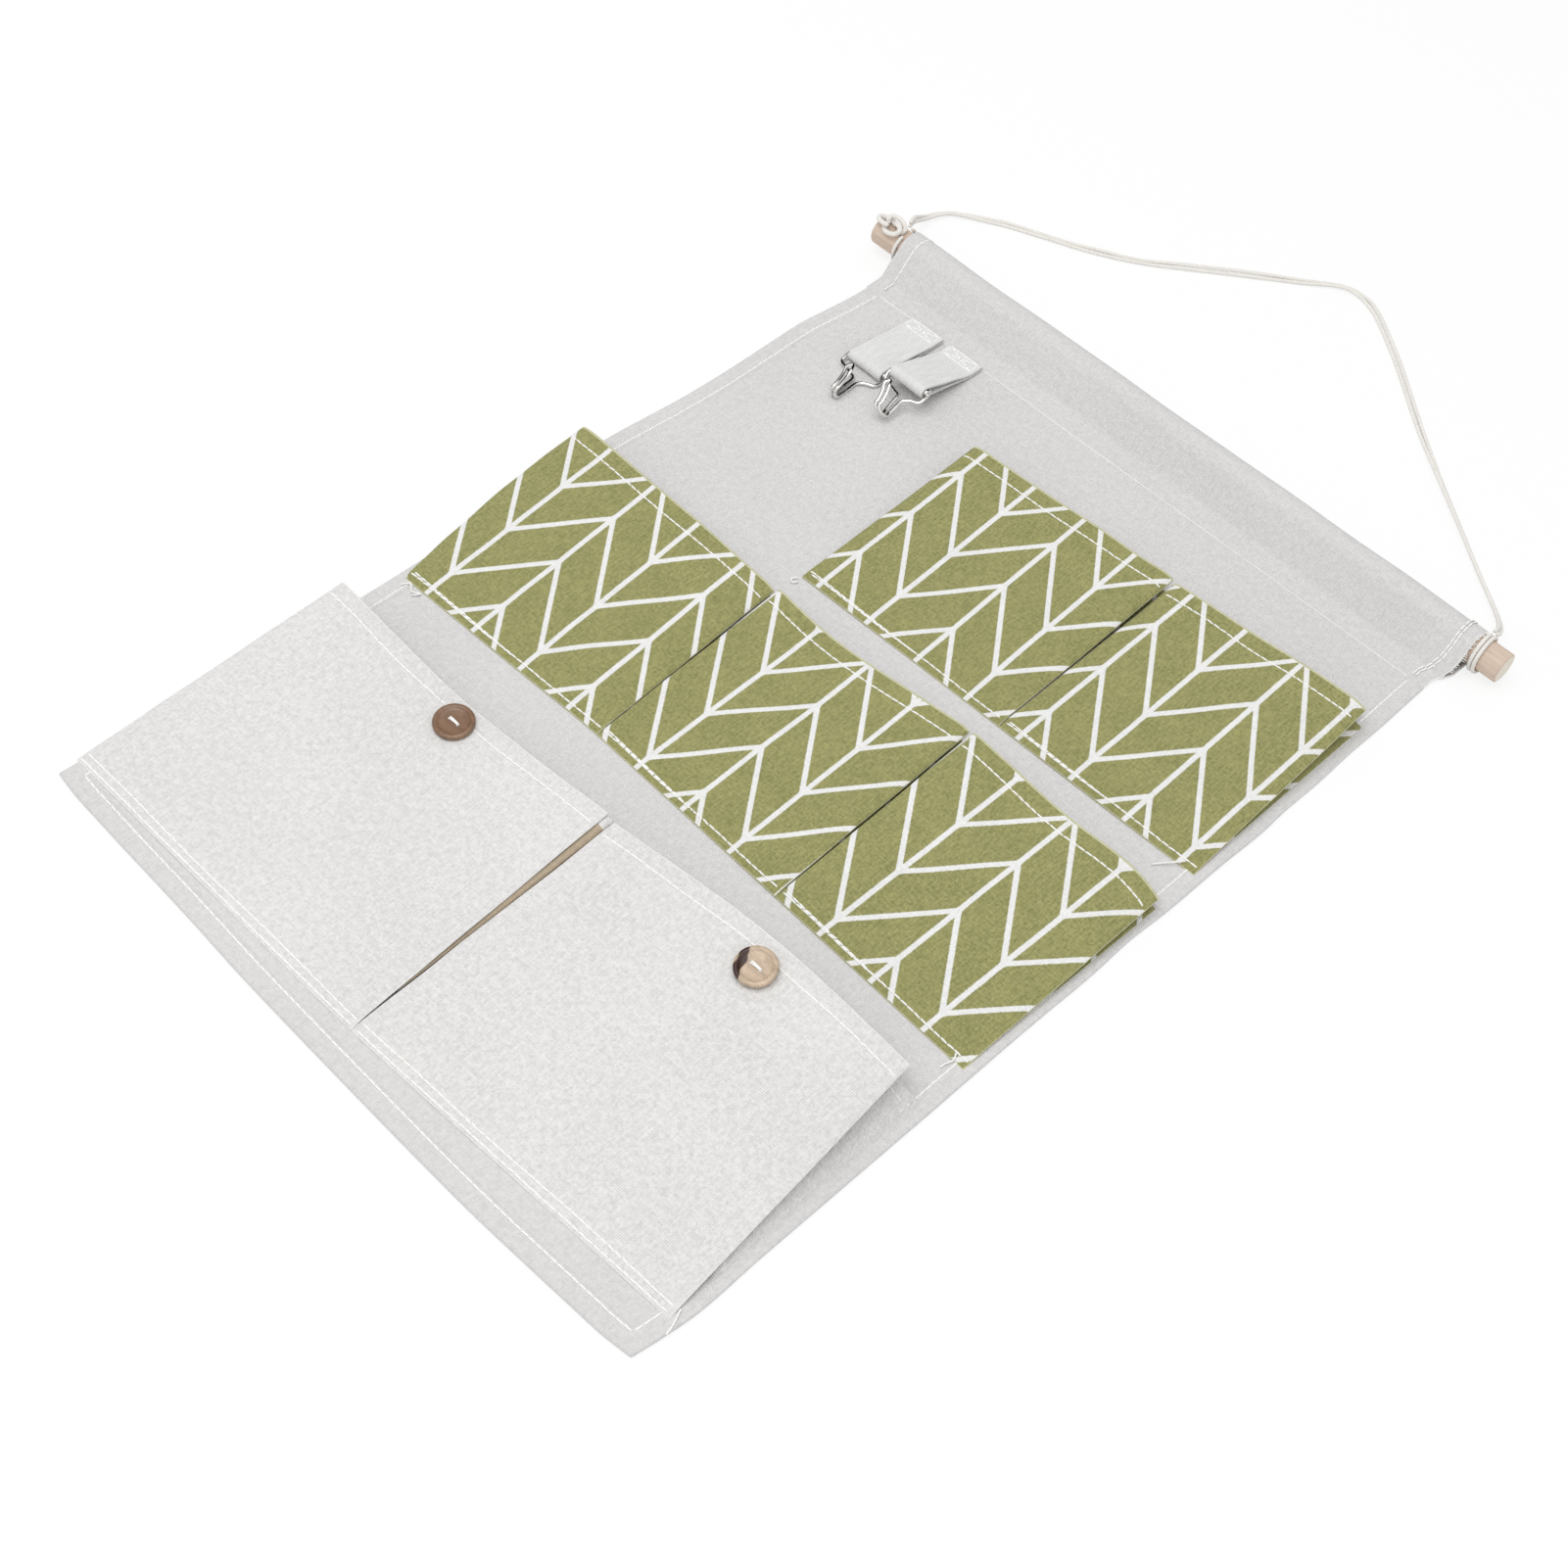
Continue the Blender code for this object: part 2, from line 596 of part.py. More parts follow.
def thread_curve(name):
    """Thread up through one hole, over the dished face and down the other."""
    half = BUTTON_HOLE_SPACING / 2
    over = BUTTON_T - BUTTON_DISH + GAP + THREAD_D / 2
    bend = THREAD_D
    route = ((-half, 0, 0), (-half, 0, over - bend), (-half + bend, 0, over), (half - bend, 0, over),
             (half, 0, over - bend), (half, 0, 0))
    return tube_curve(name, smooth_route(route, BUTTON_STEPS), THREAD_D)


def add_buttons(parts, cutters, row, brown, pale, thread):
    """A sewn-on button near the top of each lower pocket."""
    mesh = button_mesh("button", parts, cutters)
    places = (
        ("left", 0, LOWER_SPLIT, BUTTON_LEFT_ACROSS_SHARE, BUTTON_LEFT_UP_SHARE, LOWER_LEFT_STAND, brown),
        ("right", LOWER_SPLIT, LOWER_W, BUTTON_RIGHT_ACROSS_SHARE, BUTTON_RIGHT_UP_SHARE,
         LOWER_RIGHT_STAND, pale),
    )
    for side, start, end, u, v, stand, mat in places:
        run = front_run(PLAIN_H, stand)
        slope = math.atan2(front_rise(stand, u, 1.0), run)
        x = start + (end - start) * u
        y = run * v
        z = CLOTH_TOP + front_rise(stand, u, v) + POCKET_T + 2 * GAP
        body = mesh.copy()
        add_object(f"{side}_button", body, parts, mat, row, (x, y, z), (slope, 0, 0))
        add_object(f"{side}_button_thread", thread_curve(f"{side}_button_thread"), parts, thread,
                   row, (x, y, z), (slope, 0, 0))


def hook_points(total):
    """Centreline of the double wire hook, as (across, down the panel, up from the bar).

    The bar crosses the tab's loop, the wire leaves it on the left, runs down one leg, curls
    up and back to a round lip, down again and up the other leg, and ends in an eye round the
    bar's right end. Legs lie on the panel, and the lip stands off by the throat at its foot
    and by the flare more at its top. The total is the length from the bar to the tip.
    """
    side = TAB_W / 2 + GAP + WIRE_D / 2
    back = -(BAR_Z - CLOTH_TOP - WIRE_D / 2)
    front = back + HOOK_THROAT + WIRE_D
    curl = (front - back) / 2
    middle = back + curl
    rise = front + HOOK_FLARE
    foot = total - WIRE_D / 2 - curl
    lip = HOOK_LIP_SHARE * total
    top = HOOK_TOP_SHARE * total
    shoulder = HOOK_SHOULDER_SHARE * total
    eye = WIRE_D + GAP
    leg_a = (0.05 * side, 0.22 * side)
    lip_a = (0.20 * side, -0.06 * side)
    lip_b = (0.40 * side, 0.20 * side)
    leg_b = (0.43 * side, 0.36 * side)
    diagonal = math.sqrt(0.5)
    route = [
        (side + WIRE_D / 2 + BAR_OVERHANG / 2, 0, 0),
        (side, 0, 0),
        (side / 2, 0, 0),
        (0, 0, 0),
        (-side / 2, 0, 0),
        (WIRE_D / 2 - side, 0, 0),
        (-side, WIRE_D / 2, back / 8),
        (-side, shoulder / 2, back / 2),
        (WIRE_D / 2 - side, 0.84 * shoulder, 0.9 * back),
        (-0.55 * side, shoulder, back),
        (-0.22 * side, (shoulder + top) / 2, back),
        (leg_a[0], top, back),
        ((leg_a[0] + leg_a[1]) / 2, (top + foot) / 2, back),
        (leg_a[1], foot, back),
        (leg_a[1], foot + curl * diagonal, middle - curl * diagonal),
        ((leg_a[1] + lip_a[0]) / 2, foot + curl, middle),
        (lip_a[0], foot + curl * diagonal, middle + curl * diagonal),
        (lip_a[0], foot, front),
        ((lip_a[0] + lip_a[1]) / 2, (lip + foot) / 2, (front + rise) / 2),
        (lip_a[1], lip + WIRE_D, rise),
        ((lip_a[1] + lip_b[1]) / 2, lip - WIRE_D / 2, rise),
        (lip_b[1], lip + WIRE_D, rise),
        ((lip_b[0] + lip_b[1]) / 2, (lip + foot) / 2, (front + rise) / 2),
        (lip_b[0], foot, front),
        (lip_b[0], foot + curl * diagonal, middle + curl * diagonal),
        ((leg_b[0] + lip_b[0]) / 2, foot + curl, middle),
        (leg_b[0], foot + curl * diagonal, middle - curl * diagonal),
        (leg_b[0], foot, back),
        ((leg_b[0] + leg_b[1]) / 2, (top + foot) / 2, back),
        (leg_b[1] + 0.02 * side, top + WIRE_D, back),
        (0.58 * side, (shoulder + top) / 2, back),
        (0.80 * side, shoulder, back),
        (side - WIRE_D / 2, 0.9 * shoulder, back),
        (side, 0.62 * shoulder, back),
    ]
    for degrees in (-62, -105, -150, -195, -240, -285, -318):
        angle = math.radians(degrees)
        route.append((side, eye * math.cos(angle), eye * math.sin(angle)))
    return np.asarray(route)


def add_tab_and_hook(parts, frame, side, x, lift, droop, total, webbing, wire):
    """Sewn end, hinged loop and wire hook of one webbing tab."""
    mesh = box_mesh(f"{side}_tab_end", (TAB_W, TAB_SEWN, 2 * TAB_T))
    add_object(f"{side}_tab_end", mesh, parts, webbing, frame,
               (x - TAB_W / 2, TAB_TOP_Y - TAB_SEWN, CLOTH_TOP))
    hinge = add_empty(f"{side}_tab_hinge", parts, frame, (x, TAB_HINGE_Y, TAB_HINGE_Z), (-lift, 0, 0))
    curve = loop_curve(f"{side}_tab_loop", TAB_LOOP_LENGTH, TAB_LOOP_R, TAB_T, TAB_ROOT, TAB_W)
    add_object(f"{side}_tab_loop", curve, parts, webbing, hinge, (0, 0, -2 * TAB_T),
               (math.pi / 2, 0, -math.pi / 2))
    bar_up = TAB_LOOP_R - 2 * TAB_T
    pin = add_empty(f"{side}_hook_hinge", parts, hinge, (0, -TAB_LOOP_LENGTH, bar_up), (lift + droop, 0, 0))
    route = hook_points(total)
    points = smooth_route(np.stack([route[:, 0], -route[:, 1], route[:, 2]], axis=1), HOOK_SAMPLES)
    add_object(f"{side}_wire_hook", tube_curve(f"{side}_wire_hook", points, WIRE_D), parts, wire, pin)
    print(f"{side}_wire_hook: least gap to itself {least_gap(points, WIRE_D, 4):.4f} m")


def build():
    """Clear the scene and model the organizer."""
    for obj in list(bpy.data.objects):
        bpy.data.objects.remove(obj)
    parts = new_collection(PIECE_NAME)
    cutters = new_collection("cutters")
    canvas = material("cream_canvas", (0.70, 0.69, 0.67), 0.9)
    printed = material("printed_cotton", (0.31, 0.33, 0.14), 0.9)
    plain = material("plain_canvas", (0.78, 0.76, 0.74), 0.9)
    wood = material("pale_wood", (0.68, 0.54, 0.41), 0.6)
    cord = material("cotton_cord", (0.80, 0.78, 0.74), 0.9)
    webbing = material("webbing", (0.76, 0.75, 0.73), 0.9)
    wire = material("nickel_wire", (0.75, 0.74, 0.72), 0.2, 1.0)
    brown = material("brown_shell", (0.31, 0.21, 0.14), 0.4)
    pale = material("pale_shell", (0.62, 0.52, 0.40), 0.4)
    thread = material("white_thread", (0.85, 0.84, 0.82), 0.9)

    frame = add_empty("panel_frame", parts, None, (-PANEL_W / 2, -ORIGIN_Y, 0))
    hanger = add_empty("hanger_frame", parts, frame, (PANEL_W / 2, DOWEL_Y, DOWEL_Z))
    add_panel(parts, frame, canvas)
    add_sleeve(parts, frame, canvas)
    add_dowel(parts, hanger, wood)
    add_wraps_and_knot(parts, hanger, cord)
    add_cord(parts, hanger, cord)
    add_printed_rows(parts, frame, printed)
    lower = add_plain_row(parts, frame, plain)
    add_buttons(parts, cutters, lower, brown, pale, thread)
    add_tab_and_hook(parts, frame, "left", TAB_LEFT_X, 0.0, 0.0, HOOK_LEFT_REACH,
                     webbing, wire)
    add_tab_and_hook(parts, frame, "right", TAB_RIGHT_X, TAB_RIGHT_LIFT, HOOK_RIGHT_DROOP,
                     HOOK_RIGHT_REACH, webbing, wire)
    bpy.context.view_layer.update()


build()
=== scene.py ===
"""Looks of the hanging pocket organizer: cloth, cord, wood, webbing, wire and stitching.

Laid out as an add-on, and run as a script. Everything is in metres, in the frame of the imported
model. Pieces are worked out from the panel's lower left corner and moved there at the end.
"""

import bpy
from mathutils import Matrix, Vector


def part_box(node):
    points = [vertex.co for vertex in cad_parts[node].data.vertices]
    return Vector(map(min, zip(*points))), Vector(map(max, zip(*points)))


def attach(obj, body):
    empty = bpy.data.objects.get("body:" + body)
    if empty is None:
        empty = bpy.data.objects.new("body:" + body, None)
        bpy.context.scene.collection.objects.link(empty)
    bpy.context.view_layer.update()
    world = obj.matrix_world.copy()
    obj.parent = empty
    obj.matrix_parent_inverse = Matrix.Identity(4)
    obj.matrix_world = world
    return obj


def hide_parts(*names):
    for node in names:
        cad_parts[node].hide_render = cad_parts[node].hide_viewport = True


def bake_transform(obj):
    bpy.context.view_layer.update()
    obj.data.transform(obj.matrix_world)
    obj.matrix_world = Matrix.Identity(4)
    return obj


bl_info = {
    "name": "Hanging Pocket Organizer",
    "version": (1, 0, 0),
    "blender": (4, 5, 0),
    "location": "3D View > Sidebar > Organizer",
    "description": "Builds the cloth, cord and fittings of a hanging pocket organizer",
    "category": "Object",
}

import math

import bpy
import numpy as np
from bpy.props import FloatProperty, FloatVectorProperty, IntProperty, PointerProperty
from bpy.types import Operator, Panel, PropertyGroup
from mathutils import Matrix

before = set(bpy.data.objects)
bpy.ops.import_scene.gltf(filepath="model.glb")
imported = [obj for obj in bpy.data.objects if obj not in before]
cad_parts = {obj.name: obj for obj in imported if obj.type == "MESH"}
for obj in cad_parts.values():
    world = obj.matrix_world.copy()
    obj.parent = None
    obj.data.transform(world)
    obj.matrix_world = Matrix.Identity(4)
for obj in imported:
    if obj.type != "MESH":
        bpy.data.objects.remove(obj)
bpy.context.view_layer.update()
CORNER = np.array(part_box("back_panel")[0])
PANEL_W, PANEL_L, PANEL_T = np.array(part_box("back_panel")[1]) - CORNER
DOWEL_LOW, DOWEL_HIGH = (np.array(corner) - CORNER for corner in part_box("dowel"))

# Clearance between pieces, and the heights that the solids are stacked at.
GAP = 0.0003
CLOTH_TOP = PANEL_T + GAP
FACE_Z = 0.00155

# Dowel and what is wound on it.
DOWEL_R = (DOWEL_HIGH[2] - DOWEL_LOW[2]) / 2
DOWEL_Y = (DOWEL_HIGH[1] + DOWEL_LOW[1]) / 2
DOWEL_Z = (DOWEL_HIGH[2] + DOWEL_LOW[2]) / 2
CORD_D = 0.0020
STRAND_PITCH = CORD_D + 0.0001
WRAP_R = DOWEL_R + GAP + CORD_D / 2
SLEEVE_R = 0.0096
SEAM_EDGE_Y = 0.4775

# Hanging cord, from the left knot to the right wraps: how far to the right of the dowel's middle
# and how far above its axis, and how far the lower strand is lifted off the floor.
CORD_ROUTE = (
    (-0.1835, 0.0085, 0.0138), (-0.1868, 0.0158, 0.0112), (-0.1900, 0.0240, 0.0062),
    (-0.1918, 0.0345, 0.0016), (-0.1891, 0.0437, 0.0002), (-0.1823, 0.0506, 0.0),
    (-0.1637, 0.0628, 0.0), (-0.1384, 0.0743, 0.0), (-0.1190, 0.0838, 0.0),
    (-0.1004, 0.0955, 0.0), (-0.0811, 0.1110, 0.0), (-0.0599, 0.1294, 0.0),
    (-0.0354, 0.1508, 0.0), (-0.0198, 0.1634, 0.0), (-0.0084, 0.1657, 0.0),
    (0.0015, 0.1620, 0.0), (0.0112, 0.1560, 0.0), (0.0352, 0.1378, 0.0),
    (0.0674, 0.1106, 0.0), (0.0987, 0.0856, 0.0), (0.1246, 0.0660, 0.0),
    (0.1494, 0.0472, 0.0), (0.1638, 0.0366, 0.0002), (0.1731, 0.0264, 0.0038),
    (0.1775, 0.0172, 0.0092), (0.1791, 0.0098, 0.0140),
)
# Quarter turns of the pair at the same points: side by side is 0, the far strand on top is 1,
# and the near strand on top is -1.
CORD_ROLL = (1.0, 0.8, 0.4, -0.1, -0.35, -0.27, 0.1, -0.1, 0.2, 0.0, 0.5, 0.55, 0.0,
             -0.3, -0.05, 0.4, 0.4, 0.35, 0.1, -0.45, -0.6, -0.65, -0.6, -0.5, -0.4, -0.3)
# Wound turns: first angle in degrees, number of turns, place past the panel's edge and direction.
LEFT_WRAPS = (112, 0.84, -0.0026, -1)
RIGHT_WRAPS = (47, 1.75, 0.0038, 1)
# Knot: size of its lobes, place left of the panel, lean, thickness and stretch along X and Y.
KNOT_LOBE = 0.0017
KNOT_OFF = 0.0108
KNOT_LEAN = math.radians(17)
KNOT_THICK = 1.32
KNOT_STRETCH = (1.65, 0.95)
# How much shorter the dowel's right end is than its solid's.
DOWEL_SHORT = 0.0024

# Radius of the thick sewing thread.
THREAD_R = 0.00042
# Thread ends left loose on the panel, in mm.
LOOSE_THREADS = (
    ((338.6, 318.4, 4.1), (335.4, 314.2, 3.7), (332.0, 310.4, 2.9), (329.4, 307.1, 2.3)),
    ((338.1, 177.2, 3.9), (339.4, 174.2, 3.0), (338.2, 171.0, 2.3), (338.0, 168.4, 2.2)),
    ((9.0, 171.8, 2.4), (12.0, 174.8, 3.1), (15.4, 172.6, 2.5), (19.2, 174.4, 2.9),
     (17.0, 171.0, 2.3)),
    ((119.4, 309.0, 2.6), (117.6, 306.6, 2.2), (119.8, 305.4, 2.2), (121.0, 307.6, 2.4)),
    ((345.0, 24.0, 3.0), (347.4, 18.0, 2.4), (348.6, 13.4, 2.3)),
)
# How far the panel's edges stray outwards: points along each edge, in mm.
LEFT_EDGE = ((0, -1.3), (60, -2.4), (156, -3.8), (180, -3.4), (240, -1.0), (312, 1.5), (330, 0.5),
             (348, -0.4), (372, -0.5), (396, 0.2), (420, 1.2), (432, 1.5), (444, 0.7), (456, -0.2),
             (468, -0.9), (488, -0.6))
RIGHT_EDGE = ((0, -4.2), (12, -2.4), (24, -1.0), (60, -1.2), (144, -1.5), (216, -1.9),
              (246, -1.6), (276, -2.3), (288, -1.7), (330, -1.5), (360, -1.0), (372, -1.6),
              (396, -1.5), (420, -2.3), (444, -2.4), (468, -3.0), (488, -3.4))
LOWER_EDGE = ((0, -1.0), (14, 0.5), (28, 1.0), (42, 1.5), (70, 2.2), (98, 3.0), (126, 4.2),
              (154, 4.7), (196, 5.2), (238, 5.4), (266, 5.2), (294, 4.2), (322, 3.1), (336, 2.5),
              (350, 0.8))
# How far in from a side, and up from the lower edge, that straying fades out.
SIDE_FADE = 0.06
LOWER_FADE = 0.07
# Sleeve: width of its side hems, how far in its stitches lie (one row at the left end and two at
# the right), which points of its line are frayed at the right end, and how far in fibres start.
SLEEVE_HEM = 0.0085
SLEEVE_STITCHES = (0.0080, 0.0079, 0.0064)
FRAYED = range(9, 40)
FRAY_IN = 0.0006
# The sleeve's right end: how far it strays at the seam and on the round, where it changes from
# one to the other, and over how long.
SEAM_STRAY = -0.0032
ROUND_STRAY = 0.0012
STRAY_FROM_Y = 0.4825
STRAY_OVER = 0.013

# Rows of pockets: place of the sewn edge's left end, and the row's turn on the panel.
ROWS = {
    "upper": (0.1196, 0.3115, math.radians(1.3)),
    "middle": (0.0065, 0.1760, 0.0),
    "lower": (0.0010, 0.0122, math.radians(0.9)),
}
# How far the sewn edge of a row strays from straight: points along it, in mm.
BOTTOM_BOW = {
    "upper": ((0, 0), (225, 0)),
    "middle": ((-1, 0), (14, 0.5), (73, 2.4), (122, 4), (145, 3.5), (203, 2.3), (231, 1.6),
               (257, 0.9), (315, -0.8), (338, -1.4)),
    "lower": ((-1, -2), (90, -3.2), (173, -4), (260, -1.6), (344, 1)),
}
# Pockets: row, sewn edge and top edge (from, to) in mm, how far the top stands off at its left,
# its right and more at its middle, how high the top edge lies at points along it, and the
# printed lattice: spine and branch counts at the row's corner and their growth per mm.
POCKETS = {
    "upper_pocket_1": ("upper", (0.3, 117.19), (0.6, 118.80), (8.3, 10.3, 0.0),
                       ((0, 115.6), (60, 116.6), (119, 118)),
                       ((-1.3112, 0.03385, 0.00012), (-0.6787, 0.00132, 0.02877))),
    "upper_pocket_2": ("upper", (117.79, 225.2), (120.0, 224.9), (9.5, 12.0, 0.0),
                       ((120, 117), (174, 118.9), (205, 119.8), (225, 119.6)),
                       ((-5.3046, 0.03371, -0.00088), (-0.6673, 0.00172, 0.02829))),
    "middle_pocket_1": ("middle", (0.3, 121.38), (-14.4, 115.16), (9.8, 7.7, 0.5),
                        ((-15, 117.6), (50, 116.6), (115, 115)),
                        ((-0.4663, 0.03357, 0.00220), (-0.4621, 0.00040, 0.02890))),
    "middle_pocket_2": ("middle", (121.98, 231.06), (116.36, 229.24), (8.4, 11.2, -2.2),
                        ((116, 116), (144, 113.6), (190, 116), (230, 119)),
                        ((-5.0945, 0.03495, 0.00002), (-0.3225, -0.00006, 0.02982))),
    "middle_pocket_3": ("middle", (231.66, 338.0), (230.44, 338.8), (11.2, 8.0, 0.0),
                        ((230, 119), (290, 116.6), (324, 117.6), (338, 115)),
                        ((-8.6781, 0.03387, -0.00113), (-0.4695, 0.00056, 0.02900))),
    "lower_pocket_left": ("lower", (-0.8, 173.99), (4.0, 172.0), (15.5, 14.9, -2.8),
                          ((5, 132.6), (90, 129), (172, 131.8)), None),
    "lower_pocket_right": ("lower", (174.59, 343.7), (176.4, 336.4), (14.0, 16.4, 3.2),
                           ((176, 130.6), (256, 135.4), (337, 133.6)), None),
}
# Side folds: how wide the roll is, how far it goes down, and how late it starts. A pocket has a
# left and a right one; PLAIN_FOLD is for the sides that have none of their own.
PLAIN_FOLD = (0.007, 0.0026, 2.2)
FOLDS = {
    "upper_pocket_2": (PLAIN_FOLD, (0.009, 0.0028, 2.0)),
    "middle_pocket_3": (PLAIN_FOLD, (0.010, 0.0022, 2.2)),
    "lower_pocket_left": ((0.004, 0.0016, 2.2), (0.0012, 0.0004, 2.0)),
    "lower_pocket_right": ((0.0014, 0.0005, 2.0), (0.003, 0.0008, 2.2)),
}
# How far a pocket's left side bows out half way up.
SIDE_BOW = {"middle_pocket_1": 0.0026}
PRINT_H = 0.117
PLAIN_H = 0.132
PRINT_PLEAT = 0.010
PLAIN_PLEAT = 0.016
POCKET_T = 0.0010
# Pleats: share of the height that they start at, power that rounds their folds, their cloth, how
# far behind the front's side they start, and how far inside the sewn line they end.
PLEAT_FOOT = 0.18
PLEAT_ROUND = 1.3
PLEAT_CLOTH_T = 0.00055
PLEAT_SET_BACK = 0.0005
PLEAT_SET_IN = 0.0006
# How far outwards the right pleat of a printed pocket with folds of its own is sewn at its top.
PLEAT_SEWN_OUT = 0.0014
# Between the two plain pockets: how far the right (1) and the left (-1) pleat leans across the
# gap, how far it dips below the fronts, and the share of it that stands straight.
DIVIDER_LEAN = {1: 0.0037, -1: 0.0001}
DIVIDER_DIP = 0.0006
DIVIDER_STRAIGHT = 0.22
# Shares of the height at which a front's top hem starts and a plain pleat is stitched.
HEM_FROM = 0.93
PLEAT_STITCHES_AT = 0.945

# Buttons: share across and up the pocket front, then size, and depth of the dished middle.
BUTTON_SPOTS = {"left": (0.541, 0.900), "right": (0.545, 0.922)}
BUTTON_D = 0.018
BUTTON_T = 0.0026
BUTTON_DISH = 0.0009
HOLE_D = 0.0022
HOLE_SPACING = 0.0054

# Webbing tabs and wire hooks.
TAB_W = 0.021
TAB_T = 0.0012
TAB_TOP_Y = 0.4765
TAB_SEWN = 0.0085
TAB_R = 0.0029
TAB_HINGE_Y = TAB_TOP_Y - TAB_SEWN - GAP
TAB_HINGE_Z = CLOTH_TOP + 2 * TAB_T
TAB_LOOP = 0.0348
TABS = {"left": (0.0428, 0.0), "right": (0.0687, math.radians(12))}
WIRE_D = 0.0017
HOOK_THROAT = 0.0046
HOOK_FLARE = 0.0030
# Hooks: length from the bar to the tip, droop below the tab, and how far the lip leans sideways.
HOOKS = {"left": (0.0285, 0.0, 0.0), "right": (0.0235, math.radians(13), -0.0034)}
# Shares of the length at which the lip ends, the legs meet and the shoulder bends.
HOOK_LIP, HOOK_TOP, HOOK_SHOULDER = 0.44, 0.36, 0.26
BAR_Z = CLOTH_TOP + TAB_R

# Stitches: length, space to the next, width and height.
STITCH = (0.0036, 0.00015, 0.00090, 0.00050)
FINE_STITCH = (0.0030, 0.0004, 0.00040, 0.00012)
# The six rings of one stitch: place along it, size, and how far it is lifted off the cloth.
STITCH_SHARE = (-0.5, -0.4, -0.14, 0.14, 0.4, 0.5)
STITCH_SIZE = (0.45, 0.85, 1.0, 1.0, 0.85, 0.45)
STITCH_LIFT = (-0.4, 0.05, 0.3, 0.3, 0.05, -0.4)

# Camera: place, and its directions right, up and back.
EYE_AT = (0.4338, -0.54613, 0.81361)
EYE_RIGHT = (0.7019257, 0.70673155, 0.08849194)
EYE_UP = (-0.59373656, 0.5119698, 0.62077678)
EYE_BACK = (0.39341734, -0.48828008, 0.77897713)
WHITE = (1, 1, 1, 1)
# Floor: half its side, and its height under the organizer.
FLOOR_HALF = 4
FLOOR_Z = -0.0002
# Dark cards beside the floor: the line that they stand on, and their lower and upper edge.
CARD_LINE = ((-1.1, -1.6), (-1.1, 1.3), (1.2, 1.3))
CARD_Z = (0.02, 3.0)
# Soft light: place, width, length, and its turns about Z and X.
LAMP_AT = (-0.10, -0.50, 2.0)
LAMP_SIZE = (2.0, 1.6)
LAMP_TURN = (math.radians(-12), math.radians(14))


# ---------------------------------------------------------------- settings

def colour_setting(name, description, default):
    """A colour that can be set."""
    return FloatVectorProperty(name=name, description=description, default=default,
                               subtype="COLOR", min=0, max=1)


def length_setting(name, description, default, low, high):
    """A length that can be set, in metres."""
    return FloatProperty(name=name, description=description, default=default, min=low, max=high,
                         subtype="DISTANCE", unit="LENGTH")


class ClothSettings(PropertyGroup):
    """Cloth of the panel, the pockets and the tabs."""

    cell: length_setting("Cell", "Grid cell of the cloth surfaces", 0.0022, 0.0008, 0.01)
    hem: length_setting("Hem Width", "Width of the panel's folded hem", 0.009, 0.002, 0.03)
    weave: length_setting("Weave Pitch", "Distance from one thread to the next",
                          0.00085, 0.0002, 0.002)
    linen: colour_setting("Panel Colour", "Colour of the panel's canvas", (0.695, 0.686, 0.681))
    plain: colour_setting("Plain Pocket Colour", "Colour of the lower pockets",
                          (0.745, 0.733, 0.722))
    webbing: colour_setting("Webbing Colour", "Colour of the tabs", (0.815, 0.812, 0.800))
    thread: colour_setting("Thread Colour", "Colour of the sewing thread", (0.94, 0.935, 0.915))


class PrintSettings(PropertyGroup):
    """Chevron lattice printed on the two upper rows."""

    green: colour_setting("Ground Colour", "Colour of the printed ground", (0.300, 0.288, 0.119))
    line: colour_setting("Line Colour", "Colour of the lattice lines", (0.84, 0.835, 0.825))
    width: length_setting("Line Width", "Width of the lattice lines", 0.0022, 0.0005, 0.01)
    spine: length_setting("Spine Spacing", "Distance between neighbouring spines",
                          0.0295, 0.005, 0.2)
    repeat: length_setting("Branch Repeat", "Distance between branches on a spine",
                           0.0344, 0.005, 0.2)
    climb: FloatProperty(name="Branch Climb", default=1.145, min=0.1, max=4,
                         description="Repeats that a branch climbs to the next spine")


class CordSettings(PropertyGroup):
    """Cotton cord, its wraps and its knot."""

    lay: length_setting("Lay Length", "Length of one full turn of the plies", 0.0072, 0.002, 0.05)
    plies: IntProperty(name="Plies", description="Plies that the cord is twisted from",
                       default=3, min=2, max=6)
    colour: colour_setting("Cord Colour", "Colour of the cotton", (0.86, 0.835, 0.79))


class FittingSettings(PropertyGroup):
    """Dowel, buttons and hooks."""

    wood: colour_setting("Wood Colour", "Colour of the dowel", (0.72, 0.575, 0.465))
    brown: colour_setting("Brown Shell", "Colour of the left button", (0.235, 0.135, 0.080))
    pale: colour_setting("Pale Shell", "Colour of the right button", (0.560, 0.430, 0.310))
    wire: colour_setting("Wire Colour", "Colour of the plated hooks", (0.82, 0.81, 0.79))


class StageSettings(PropertyGroup):
    """Floor, light and camera."""

    ambient: FloatProperty(name="Room Light", description="Level of the even light of the room",
                           default=0.66, min=0, max=2)
    key: FloatProperty(name="Key Light", description="Power of the large soft light",
                       default=24.0, min=0, max=500, subtype="POWER", unit="POWER")
    lens: FloatProperty(name="Focal Length", description="Focal length of the camera",
                        default=57.13, min=10, max=300, subtype="DISTANCE_CAMERA")


# ---------------------------------------------------------------- shapes

def smoothstep(x):
    """3x² − 2x³ of x held between 0 and 1."""
    x = np.clip(x, 0.0, 1.0)
    return x * x * (3 - 2 * x)


